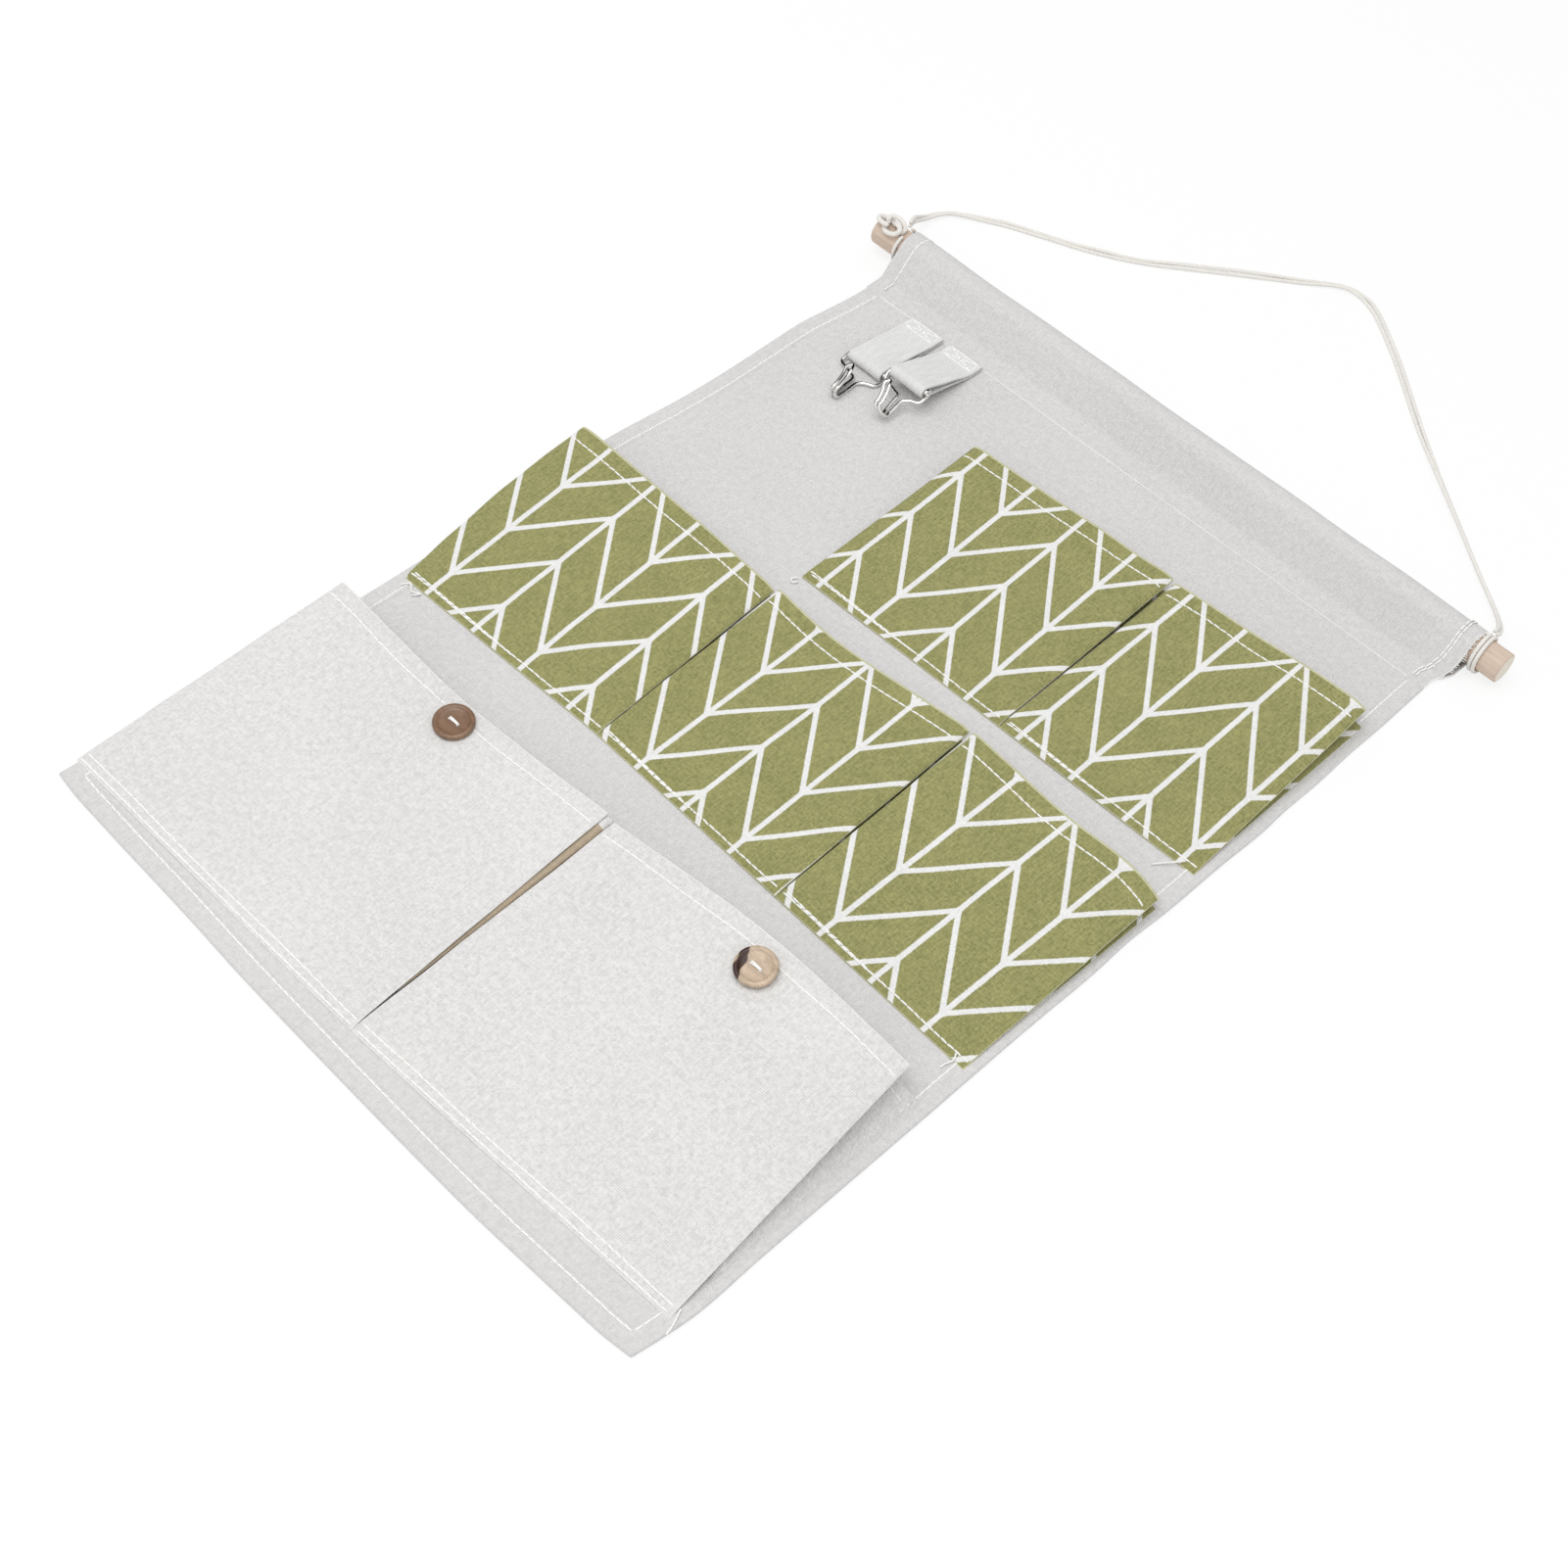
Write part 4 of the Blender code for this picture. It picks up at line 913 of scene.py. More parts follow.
def shell_material(name, colour, dark, stripe=0.0):
    """Polished coconut shell: curved fibres and pits; with a stripe, one dark slanting band."""
    material, tree, shader = new_material(name, 0.38, Specular_IOR_Level=0.5, Coat_Weight=0.15,
                                          Coat_Roughness=0.3)
    coords = map_coords(tree, "weave")
    bend = noise(tree, coords, (90.0, 90.0, 1.0), 2.0)
    off = node(tree, "ShaderNodeCombineXYZ", {0: calc(tree, "MULTIPLY", bend, 0.006),
                                              1: calc(tree, "MULTIPLY", bend, 0.004)}).outputs[0]
    bent = vector_calc(tree, "ADD", coords, off)
    fibre = noise(tree, bent, (330.0, 2400.0, 1.0), 3.0, 0.6)
    blotch = noise(tree, bent, (120.0, 260.0, 1.0), 3.0)
    tone = toned(tree, 0.5, (fibre, 0.5, 1.5), (blotch, 0.5, 1.5))
    tint = mixed(tree, tone, shade(colour, 0.62), shade(colour, 1.30))
    if stripe:
        parts = node(tree, "ShaderNodeSeparateXYZ", {0: bent}).outputs
        slant = calc(tree, "MULTIPLY_ADD", parts[1], 0.42, parts[0])
        aside = calc(tree, "ABSOLUTE", calc(tree, "ADD", slant, -stripe))
        band = ranged(tree, aside, 0.0020, 0.0026, 1.0, 0.0)
        tint = mixed(tree, band, tint, dark)
    rough = ranged(tree, tone, 0.0, 1.0, 0.5, 0.3)
    finish_material(tree, shader, tint, fibre, 0.25, 0.0001, rough)
    return material


def wire_material(name, colour):
    """Bright plated wire with faint drawing marks along it."""
    material, tree, shader = new_material(name, 0.12, Metallic=1.0)
    coords = map_coords(tree, "weave")
    marks = noise(tree, coords, (60.0, 300.0, 1.0), 2.0)
    tint = mixed(tree, marks, shade(colour, 0.92), shade(colour, 1.05))
    rough = ranged(tree, marks, 0.3, 0.7, 0.04, 0.12)
    finish_material(tree, shader, tint, marks, 0.05, 0.00005, rough)
    return material


# ---------------------------------------------------------------- cloth pieces

def panel_height(x, y, hem):
    """Height of the panel's face: flat, with a raised hem on three sides and soft puckers."""
    edge = np.minimum(np.minimum(x, PANEL_W - x), y)
    band = 1 - smoothstep((edge - hem + 0.0004) / 0.0007)
    pucker = ripple(x, y, 5, 0.013) * np.exp(-((edge - hem) / 0.004) ** 2)
    wave = ripple(x, y, 3, 0.11)
    under_sleeve = smoothstep((y - SEAM_EDGE_Y + 0.0006) / 0.0010)
    return FACE_Z + 0.00042 * band + 0.00010 * pucker + 0.00012 * wave - 0.00085 * under_sleeve


def near_right(x):
    """Share of the right edge's straying that is left at x."""
    return smoothstep((x - PANEL_W + SIDE_FADE) / SIDE_FADE)


def panel_place(x, y, hem):
    """Point of the panel's face: each edge strays by its eased line, and less far in from it."""
    out_x = eased(1000 * y, RIGHT_EDGE) * near_right(x) / 1000
    out_x -= eased(1000 * y, LEFT_EDGE) * (1 - smoothstep(x / SIDE_FADE)) / 1000
    out_y = -eased(1000 * x, LOWER_EDGE) * (1 - smoothstep(y / LOWER_FADE)) / 1000
    return np.stack([x + out_x, y + out_y, panel_height(x, y, hem)], axis=-1)


def make_panel(cloth, linen, thread):
    """Back panel and the rows of stitching round its hem."""
    hem = cloth.hem
    near = [0.0, 0.0004, 0.0012, 0.003, 0.0055, hem - 0.001, hem - 0.0004, hem, hem + 0.0004,
            hem + 0.001, hem + 0.0022]
    count = int((PANEL_W - 2 * near[-1]) / cloth.cell)
    xs = np.concatenate([near, np.linspace(near[-1], PANEL_W - near[-1], count)[1:-1],
                         PANEL_W - np.array(near[::-1])])
    ys = np.concatenate([near, np.linspace(near[-1], PANEL_L, int(PANEL_L / cloth.cell))[1:]])
    x, y = np.meshgrid(xs, ys)
    face = panel_place(x, y, hem)
    shell = Shell()
    under = np.maximum(face[..., 2] - 0.0001, 0.0004)
    add_cloth(shell, face, under, np.stack([x, y], axis=-1))
    piece = shell.build("back_panel_cloth", [linen])
    rows = Shell()
    inset = hem - 0.0016
    far, top = PANEL_W - inset, PANEL_L - 0.012
    line = np.linspace(0.0, 1.0, 900)
    for start, end in (((inset, top), (inset, inset)), ((inset, inset), (far, inset)),
                       ((far, inset), (far, top))):
        lx = start[0] + (end[0] - start[0]) * line
        ly = start[1] + (end[1] - start[1]) * line
        points, normals = surface_line(lambda u, v: panel_place(u, v, hem), lx, ly)
        add_stitches(rows, points, normals, seed=int(1000 * (start[0] + end[1])) + 3)
    for route in LOOSE_THREADS:
        add_rope(rows, smooth_route(np.array(route) / 1000, 40), THREAD_R, sides=8, plies=2,
                 lay=0.002)
    sewing = rows.build("back_panel_stitches", [thread])
    for new in (piece, sewing):
        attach(new, "panel")
    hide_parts("back_panel")


def sleeve_line(count):
    """Outer line of the sleeve in (y, z): up the panel from the seam, straight to the round, back
    round the dowel, and in along the floor."""
    seam, root = SEAM_EDGE_Y, 0.4885
    centre = np.array([DOWEL_Y, SLEEVE_R])
    reach = centre - (root, 0.0025)
    far = np.hypot(*reach)
    slope = math.atan2(reach[1], reach[0]) + math.asin(SLEEVE_R / far)
    turn = np.linspace(slope + math.pi / 2, -math.pi / 2, 40)
    arc = centre + SLEEVE_R * np.stack([np.cos(turn), np.sin(turn)], axis=1)
    straight = np.linspace((seam, FACE_Z + 0.00018), (root - 0.002, 0.0023), 8)
    climb = np.linspace((root, 0.0026), arc[0], 10)[:-1]
    floor = np.linspace(arc[-1], (0.4888, 0.0002), 9)[1:]
    return spaced(np.vstack([straight, climb, arc, floor]), count)


def sleeve_stray(x, y):
    """How far the sleeve strays along the dowel: with the panel's right edge at the seam, and a
    little outwards on the round."""
    climb = smoothstep((y - STRAY_FROM_Y) / STRAY_OVER)
    return near_right(x) * (ROUND_STRAY * climb + SEAM_STRAY * (1 - climb))


def make_sleeve(linen, thread):
    """Sleeve of the panel's cloth round the dowel, sewn down along its front edge."""
    line, run = sleeve_line(72)
    xs = graded(PANEL_W, 0.003, (0.0004, 0.0012, 0.003, SLEEVE_HEM, 0.0092)) * PANEL_W
    x, along = np.meshgrid(xs, run)
    y = np.broadcast_to(line[:, :1], x.shape)
    z = np.broadcast_to(line[:, 1:], x.shape)
    swell = 0.00022 * ripple(x, along * 2.0, 21, 0.05) * np.clip((along - 0.006) / 0.01, 0, 1)
    edge = np.minimum(x, PANEL_W - x)
    swell += 0.00025 * (1 - smoothstep((edge - SLEEVE_HEM) / 0.0007))
    x = x + sleeve_stray(x, y)
    out = np.stack([0 * y, y - DOWEL_Y, z - SLEEVE_R], axis=-1)
    face = np.stack([x, y, z], axis=-1) + unit(out) * swell[..., None]
    face[..., 2] = np.maximum(face[..., 2], np.minimum(z, 0.0002))
    shell = Shell()
    thick = 0.0009 + 0.0005 * (1 - smoothstep((edge - 0.002) / 0.002))
    add_cloth(shell, face, thick, np.stack([x, along], axis=-1), rim=1)
    piece = shell.build("dowel_sleeve_cloth", [linen, thread])
    rows = Shell()
    line_x = np.linspace(0.002, PANEL_W - 0.002, 900)
    spots = np.stack([line_x, np.full_like(line_x, SEAM_EDGE_Y + 0.0022),
                      np.full_like(line_x, FACE_Z + 0.0002)], axis=1)
    level = np.broadcast_to((0.0, 0.0, 1.0), spots.shape)
    add_stitches(rows, spots, level, FINE_STITCH, seed=31, mark=1)
    slope = unit(np.gradient(line, axis=0))
    out = np.column_stack([np.zeros(len(line)), -slope[:, 1], slope[:, 0]])
    shown = slice(2, 52)
    for inset in (SLEEVE_STITCHES[0], *(PANEL_W - place for place in SLEEVE_STITCHES[1:])):
        spot = np.full(len(line), inset)
        route = np.column_stack([spot + sleeve_stray(spot, line[:, 0]), line])
        add_stitches(rows, (route + out * 0.0004)[shown], out[shown], seed=33)
    source = np.random.default_rng(8)
    for k in FRAYED:
        root = np.array([PANEL_W - FRAY_IN, *line[k]]) - FRAY_IN * out[k]
        root[0] += float(sleeve_stray(PANEL_W, line[k, 0]))
        bend = source.normal(0, 0.0005, 2)
        tip = root + (source.uniform(0.0012, 0.0030), *bend)
        tip[2] = max(tip[2], 0.0004)
        add_rope(rows, np.linspace(root, tip, 4), source.uniform(0.00016, 0.00034), sides=5)
    sewing = rows.build("dowel_sleeve_stitches", [thread, linen])
    for new in (piece, sewing):
        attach(new, "panel")
    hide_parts("dowel_sleeve")


class Front:
    """One pocket front as a surface of its share across and its share up."""

    def __init__(self, name):
        self.name = name
        self.row, self.bottom, self.top, self.stand, self.line, self.lattice = POCKETS[name]
        self.plain = self.lattice is None
        self.height, self.pleat = (PLAIN_H, PLAIN_PLEAT) if self.plain else (PRINT_H, PRINT_PLEAT)
        self.slot = "plain_canvas" if self.plain else "printed_cotton"
        self.map_names = ("weave",) if self.plain else ("weave", "print")
        mean = (self.stand[0] + self.stand[1]) / 2000
        self.run = math.sqrt(self.height ** 2 - mean ** 2)
        self.folds = FOLDS.get(name, (PLAIN_FOLD, PLAIN_FOLD))
        self.bow = SIDE_BOW.get(name, 0.0)
        self.divider_side = {"lower_pocket_left": 1, "lower_pocket_right": -1}.get(name, 0)
        self.seed = sum(ord(c) for c in name)

    def flat(self, u, v):
        """Place on the row's plane: between the sewn edge and the top edge."""
        low = (self.bottom[0] + (self.bottom[1] - self.bottom[0]) * u) / 1000
        high = (self.top[0] + (self.top[1] - self.top[0]) * u) / 1000
        x = low + (high - low) * v
        x = x - self.bow * np.sin(np.pi * np.clip(v, 0, 1)) * np.clip(1 - u, 0, 1) ** 3
        foot = eased(x * 1000, BOTTOM_BOW[self.row]) / 1000
        head = eased(high * 1000, self.line) / 1000
        return x, foot + (head - foot) * v

    def rise(self, u, v):
        """How far the face stands off: evenly more up the pocket, less or more at mid-width."""
        left, right, crown = (s / 1000 for s in self.stand)
        return (left + (right - left) * u + crown * np.sin(np.pi * np.clip(u, 0, 1))) * v

    def drop(self, u, v):
        """How far the side folds roll down: by 1 − √(1 − kⁿ), where k grows to 1 at the fold."""
        wide = (self.bottom[1] - self.bottom[0]) / 1000
        u, fall = np.clip(u, 0, 1), 0.0
        for share, (width, size, late) in zip((u, 1 - u), self.folds):
            k = np.clip(1 - share * wide / width, 0, 1)
            fall = fall + size * (1 - np.sqrt(np.clip(1 - k ** late, 0, 1)))
        return fall * np.clip(v, 0, 1) ** 0.7

    def face(self, u, v):
        """Outer face of the cloth in the panel's frame."""
        x, y = self.flat(u, v)
        z = CLOTH_TOP + POCKET_T + self.rise(u, v) - self.drop(u, v)
        z = z + 0.00035 * ripple(x, y, self.seed, 0.05) * smoothstep(v / 0.3)
        z = z - 0.0005 * (1 - smoothstep(v / 0.06))
        return on_row(np.stack([x, y, z], axis=-1), self.row)

    def columns(self, x, y):
        """Cloth coordinates in metres, and on printed cloth the counts of the lattice."""
        counts = [a + b * x * 1000 + c * y * 1000 for a, b, c in self.lattice or ()]
        return np.stack([x, y, *counts], axis=-1)

    def maps(self, u, v):
        """Coordinates of the front's cloth."""
        x, y = self.flat(u, v)
        return self.columns(x, y * self.height / self.run)


def make_front(front, cell, material, thread, edge):
    """One pocket front, with its hem stitches and its sewn lower edge; the paler edge material on
    its top rows, right column and rim paints a highlight along its folds.
    """
    us = graded(front.bottom[1] / 1000 - front.bottom[0] / 1000, cell,
                (0.0002, 0.0006, 0.0012, 0.002, 0.003))
    vs = graded(front.height, cell, (0.0003, 0.001, 0.0022, 0.004))
    u, v = np.meshgrid(us, vs)
    thick = 0.00085 + 0.00035 * (1 - smoothstep(v / 0.05))
    thick = thick + 0.0001 * smoothstep((v - HEM_FROM) / 0.01)
    shell = Shell()
    add_cloth(shell, front.face(u, v), thick, front.maps(u, v), rim=1)
    # Top rows and right column in the paler edge cloth: a painted highlight along the folds.
    shell.remark(u.shape, slice(-1 if front.plain else -2, None), slice(None), 1)
    shell.remark(u.shape, slice(None), slice(-1, None), 1)
    piece = shell.build(f"{front.name}_cloth", [material, edge], front.map_names)
    rows = Shell()
    across = np.linspace(0.005, 0.995, 500)
    twice_to = 0.55
    again = np.linspace(0.005, twice_to, 300)
    if front.plain:
        lines = ((across, 0.0012 + 0 * across), (across, 0.0044 + 0.0003 * np.sin(across * 11)),
                 (across, front.height - 0.0072 + 0.0003 * np.sin(across * 17)))
    else:
        lines = ((across, 0.0033 + 0.0002 * np.sin(across * 13)),
                 (again, 0.0033 + 0.0013 * (1 - again / twice_to)),
                 (across, front.height - 0.0086 + 0.0003 * np.sin(across * 9)))
    for k, (share, level) in enumerate(lines):
        points, normals = surface_line(front.face, share, level / front.height)
        add_stitches(rows, points, normals, seed=front.seed + k)
    sewing = rows.build(f"{front.name}_stitches", [thread])
    body = f"{front.name}_flap"
    for new in (piece, sewing):
        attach(new, body)
    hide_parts(f"{front.name}_front")


def pleat_place(front, side, w, v):
    """A pleat's outer face at the shares w across it and v up it: the side of the front that it
    starts from as (x, y), and its own place across and its height.

    Across the pleat the place goes evenly from the fold to the sewn line, and inwards by the
    depth times 1 − |2w − 1|, a little rounded. Between the two plain pockets the first part of
    the pleat stands straight and dips below the fronts.
    """
    k = 1 if side > 0 else 0
    u = np.full_like(v, float(k))
    x, y = front.flat(u, v)
    sewn = np.full_like(v, front.bottom[k] / 1000)
    if side > 0 and front.name in FOLDS and not front.plain:
        sewn = sewn + PLEAT_SEWN_OUT * v
    high = CLOTH_TOP + front.rise(u, v) - front.drop(u, v) + 0.0001
    low = CLOTH_TOP + 0.0002
    folded = w
    if side == front.divider_side:
        folded = np.clip((w - DIVIDER_STRAIGHT) / (1 - DIVIDER_STRAIGHT), 0, 1)
        below_hem = smoothstep(v / 0.5) * (1 - smoothstep((v - HEM_FROM) / 0.02))
        high = high - DIVIDER_DIP * smoothstep(w / 0.04) * below_hem
    inward = front.pleat * v * (1 - np.abs(2 * folded - 1) ** PLEAT_ROUND)
    if side == front.divider_side:
        lean = DIVIDER_LEAN[side] * v
        inward = inward - lean * smoothstep(w / 0.05) * (1 - smoothstep((w - 0.2) / 0.12))
    fold, pull = x - side * PLEAT_SET_BACK, sewn - side * PLEAT_SET_IN
    across = fold + (pull - fold) * w - side * inward
    height = high + (low - high) * w
    height = height + 0.0002 * ripple(across * 3, y, front.seed + k, 0.03) * np.sin(np.pi * w)
    return x, y, across, height


def make_pleats(front, cell, material, thread, edge, painted_shade):
    """The two side pleats: each runs from the front's side fold inwards and back to the panel.

    Between the two plain pockets the straight part of the pleats takes a warm beige that paints the
    shade down in the gap.
    """
    vs = np.linspace(PLEAT_FOOT, 1.0, int(front.height / cell / 1.5))
    ws = np.linspace(0.0, 1.0, 25)
    w, v = np.meshgrid(ws, vs)
    for word, side in (("left", -1), ("right", 1)):
        x, y, across, height = pleat_place(front, side, w, v)
        face = on_row(np.stack([across, y, height], axis=-1), front.row)
        length = np.hypot(np.diff(across, axis=1), np.diff(height, axis=1))
        run = np.concatenate([np.zeros((len(vs), 1)), np.cumsum(length, axis=1)], axis=1)
        cloth = front.columns(x + side * run, y if front.plain else y * front.height / front.run)
        if side < 0:
            face, cloth = face[:, ::-1], cloth[:, ::-1]
        shell = Shell()
        # The pleat's rim takes the paler edge cloth: a painted highlight along its fold.
        add_cloth(shell, face, PLEAT_CLOTH_T, cloth, rim=1)
        divider = side == front.divider_side
        if divider:
            # Below the hem these columns take a warm beige: painted shade inside the gap between
            # the plain pockets.
            painted_columns = slice(0, 9) if side > 0 else slice(-9, None)
            shell.remark(v.shape, slice(int(HEM_FROM * len(vs))), painted_columns, 2)
        if front.plain:
            row = int(round(PLEAT_STITCHES_AT * (len(vs) - 1)))
            band = slice(2, 12) if divider else slice(12, -1)
            normals = surface_normals(face)[row, band]
            add_stitches(shell, face[row, band], normals, seed=front.seed + 7, mark=3)
        cloths = [material, edge, painted_shade, thread] if front.plain else [material, edge]
        piece = shell.build(f"{front.name}_{word}_pleat_cloth", cloths, front.map_names)
        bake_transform(piece)
        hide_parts(f"{front.name}_{word}_pleat")


# ---------------------------------------------------------------- tabs, hooks, buttons

def tab_line(lift, count):
    """Outer line of a folded tab in (y, z): down the lower layer from the sewn end, round the bar,
    and back up the upper layer, with the free part lifted about the end of the stitching."""
    bar = np.array([TAB_HINGE_Y - TAB_LOOP, CLOTH_TOP + TAB_R])
    root = np.array([TAB_HINGE_Y, CLOTH_TOP + 2 * TAB_T])
    reach = root - bar
    far = np.hypot(*reach)
    top = math.atan2(reach[1], reach[0]) + math.acos(TAB_R / far)
    turn = np.linspace(-math.pi / 2, -2 * math.pi + top, 24)
    arc = bar + TAB_R * np.stack([np.cos(turn), np.sin(turn)], axis=1)
    lower = np.linspace((TAB_TOP_Y, CLOTH_TOP), (TAB_HINGE_Y, CLOTH_TOP), 6)
    run_in = np.linspace((TAB_HINGE_Y, CLOTH_TOP), arc[0], 14)[1:]
    back = np.linspace(arc[-1], root, 14)[1:]
    upper = np.linspace(root, (TAB_TOP_Y, root[1]), 6)[1:]
    line = np.vstack([lower, run_in, arc[1:], back, upper])
    if lift:
        share = smoothstep((TAB_HINGE_Y + 0.002 - line[:, 0]) / 0.004)
        c, s = math.cos(lift), math.sin(lift)
        dy, dz = (line - root).T
        swung = root + np.stack([dy * c + dz * s, -dy * s + dz * c], axis=1)
        line = line + (swung - line) * share[:, None]
    return spaced(line, count)


def make_tab(side, webbing, thread):
    """One webbing tab, folded round its hook's bar and sewn at its top."""
    x_mid, lift = TABS[side]
    line, run = tab_line(lift, 110)
    xs = graded(TAB_W, 0.0009, (0.0002, 0.0005)) * TAB_W
    x, along = np.meshgrid(xs, run)
    y = np.broadcast_to(line[:, :1], x.shape)
    z = np.broadcast_to(line[:, 1:], x.shape)
    free = np.clip((along - TAB_SEWN) / 0.01, 0, 1)
    free = free * np.clip((run[-1] - TAB_SEWN - along) / 0.01, 0, 1)
    z = z + 0.00025 * free * ripple(x, along, 40, 0.03)
    face = np.stack([x_mid - TAB_W / 2 + x, y, z], axis=-1)
    shell = Shell()
    add_cloth(shell, face, 0.00112, np.stack([x, along], axis=-1))
    piece = shell.build(f"{side}_tab_webbing", [webbing])
    rows = Shell()
    left, right = x_mid - TAB_W / 2 + 0.0016, x_mid + TAB_W / 2 - 0.0016
    low, high = TAB_TOP_Y - TAB_SEWN + 0.001, TAB_TOP_Y - 0.001
    t = np.linspace(0, 1, 60)[:, None]
    for k, (a, b) in enumerate((((left, high), (right, high)), ((left, low), (right, low)),
                                ((left, low), (left, high)), ((right, low), (right, high)),
                                ((left, low), (right, high)), ((left, high), (right, low)))):
        flat = np.array(a) + (np.array(b) - np.array(a)) * t
        spots = np.column_stack([flat, np.full(len(t), TAB_HINGE_Z)])
        add_stitches(rows, spots, np.broadcast_to((0.0, 0.0, 1.0), spots.shape), seed=50 + k)
    sewing = rows.build(f"{side}_tab_stitches", [thread])
    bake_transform(piece)
    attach(sewing, "panel")
    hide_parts(f"{side}_tab_end", f"{side}_tab_loop")


def hook_route(total, lean):
    """Centreline of the double hook as (across, down the panel, up from the bar): the bar, one
    leg down, a curl up and back to a round lip, down again, and up the other leg to an eye round
    the bar."""
    side = TAB_W / 2 + GAP + WIRE_D / 2
    back = -(BAR_Z - CLOTH_TOP - WIRE_D / 2)
    front = back + HOOK_THROAT + WIRE_D
    curl = (front - back) / 2
    middle, rise = back + curl, front + HOOK_FLARE
    foot = total - WIRE_D / 2 - curl
    lip, top, shoulder = HOOK_LIP * total, HOOK_TOP * total, HOOK_SHOULDER * total
    eye = WIRE_D + GAP
    leg_a, lip_a = (0.05 * side, 0.22 * side), (0.20 * side + lean, -0.06 * side + lean)
    lip_b, leg_b = (0.40 * side + lean, 0.20 * side + lean), (0.43 * side, 0.36 * side)
    slant = math.sqrt(0.5)
    route = [
        (side + WIRE_D / 2 + 0.0006, 0, 0), (side, 0, 0), (side / 2, 0, 0), (0, 0, 0),
        (-side / 2, 0, 0), (WIRE_D / 2 - side, 0, 0), (-side, WIRE_D / 2, back / 8),
        (-side, shoulder / 2, back / 2), (WIRE_D / 2 - side, 0.84 * shoulder, 0.9 * back),
        (-0.55 * side, shoulder, back), (-0.22 * side, (shoulder + top) / 2, back),
        (leg_a[0], top, back), ((leg_a[0] + leg_a[1]) / 2, (top + foot) / 2, back),
        (leg_a[1], foot, back), (leg_a[1], foot + curl * slant, middle - curl * slant),
        ((leg_a[1] + lip_a[0]) / 2, foot + curl, middle),
        (lip_a[0], foot + curl * slant, middle + curl * slant), (lip_a[0], foot, front),
        ((lip_a[0] + lip_a[1]) / 2, (lip + foot) / 2, (front + rise) / 2),
        (lip_a[1], lip + WIRE_D, rise), ((lip_a[1] + lip_b[1]) / 2, lip - WIRE_D / 2, rise),
        (lip_b[1], lip + WIRE_D, rise),
        ((lip_b[0] + lip_b[1]) / 2, (lip + foot) / 2, (front + rise) / 2), (lip_b[0], foot, front),
        (lip_b[0], foot + curl * slant, middle + curl * slant),
        ((leg_b[0] + lip_b[0]) / 2, foot + curl, middle),
        (leg_b[0], foot + curl * slant, middle - curl * slant), (leg_b[0], foot, back),
        ((leg_b[0] + leg_b[1]) / 2, (top + foot) / 2, back),
        (leg_b[1] + 0.02 * side, top + WIRE_D, back), (0.58 * side, (shoulder + top) / 2, back),
        (0.80 * side, shoulder, back), (side - WIRE_D / 2, 0.9 * shoulder, back),
        (side, 0.62 * shoulder, back),
    ]
    for degrees in (-62, -105, -150, -195, -240, -285, -318):
        angle = math.radians(degrees)
        route.append((side, eye * math.cos(angle), eye * math.sin(angle)))
    return np.asarray(route)


def make_hook(side, wire):
    """One wire hook, hanging in its tab's loop as the solid does."""
    x_mid, lift = TABS[side]
    total, droop, lean = HOOKS[side]
    route = hook_route(total, lean)
    path = smooth_route(np.stack([route[:, 0], -route[:, 1], route[:, 2]], axis=1), 330)
    bar_up = TAB_R - 2 * TAB_T
    path = turned(path, lift + droop, 0) + (0, -TAB_LOOP, bar_up)
    path = turned(path, -lift, 0) + (x_mid, TAB_HINGE_Y, TAB_HINGE_Z)
    shell = Shell()
    add_rope(shell, path, WIRE_D / 2, sides=16)
    piece = shell.build(f"{side}_hook_wire", [wire])
    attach(piece, f"{side}_hook")
    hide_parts(f"{side}_wire_hook")


def button_blank(steps=72):
    """Turned button: its outline from the dished middle over the round rim to the flat back."""
    r, rim = BUTTON_D / 2, BUTTON_D / 2 - 0.0022
    ease, face = 0.00045, BUTTON_T - BUTTON_DISH
    profile = np.array([
        (0.0, face), (rim * 0.4, face - 0.00003), (rim - 0.0012, face), (rim - ease, face + 0.0001),
        (rim, BUTTON_T - ease), (rim + ease, BUTTON_T - 0.0001), (rim + 0.0009, BUTTON_T),
        (r - 0.0006, BUTTON_T - 0.00005), (r - 0.0002, BUTTON_T - 0.0003),
        (r, BUTTON_T - 0.0008), (r, 0.0006), (r - 0.0003, 0.0002), (r - 0.0008, 0.0),
        (r * 0.5, 0.0), (0.0, 0.0)])
    angle = np.arange(steps) * 2 * math.pi / steps
    ring = profile[1:-1]
    points = np.stack([ring[:, :1] * np.cos(angle), ring[:, :1] * np.sin(angle),
                       np.broadcast_to(ring[:, 1:], (len(ring), steps))], axis=-1)
    uv = np.concatenate([points[..., :2], points[:, :1, :2]], axis=1)
    shell = Shell()
    start = shell.add_grid(points, uv, wrap=True, flip=True)
    shell.add_fan(start + np.arange(steps), (0, 0, profile[0, 1]), (0, 0))
    shell.add_fan(start + (len(ring) - 1) * steps + np.arange(steps), (0, 0, 0), (0, 0), flip=True)
    return shell


def drill_holes(blank, side, material):
    """Cut the two holes through a button."""
    cutters = []
    for k in (-1, 1):
        drill = Shell()
        spot = np.array([k * HOLE_SPACING / 2, 0, 0])
        depth = np.linspace((0, 0, -0.002), (0, 0, 0.005), 8)
        add_rope(drill, spot + depth, HOLE_D / 2, sides=24)
        cutter = drill.build(f"{side}_drill_{k + 1}", [material])
        cut = blank.modifiers.new("hole", "BOOLEAN")
        cut.operation = "DIFFERENCE"
        cut.object = cutter
        cutters.append(cutter)
    apply_modifiers(blank)
    for cutter in cutters:
        bpy.data.objects.remove(cutter)


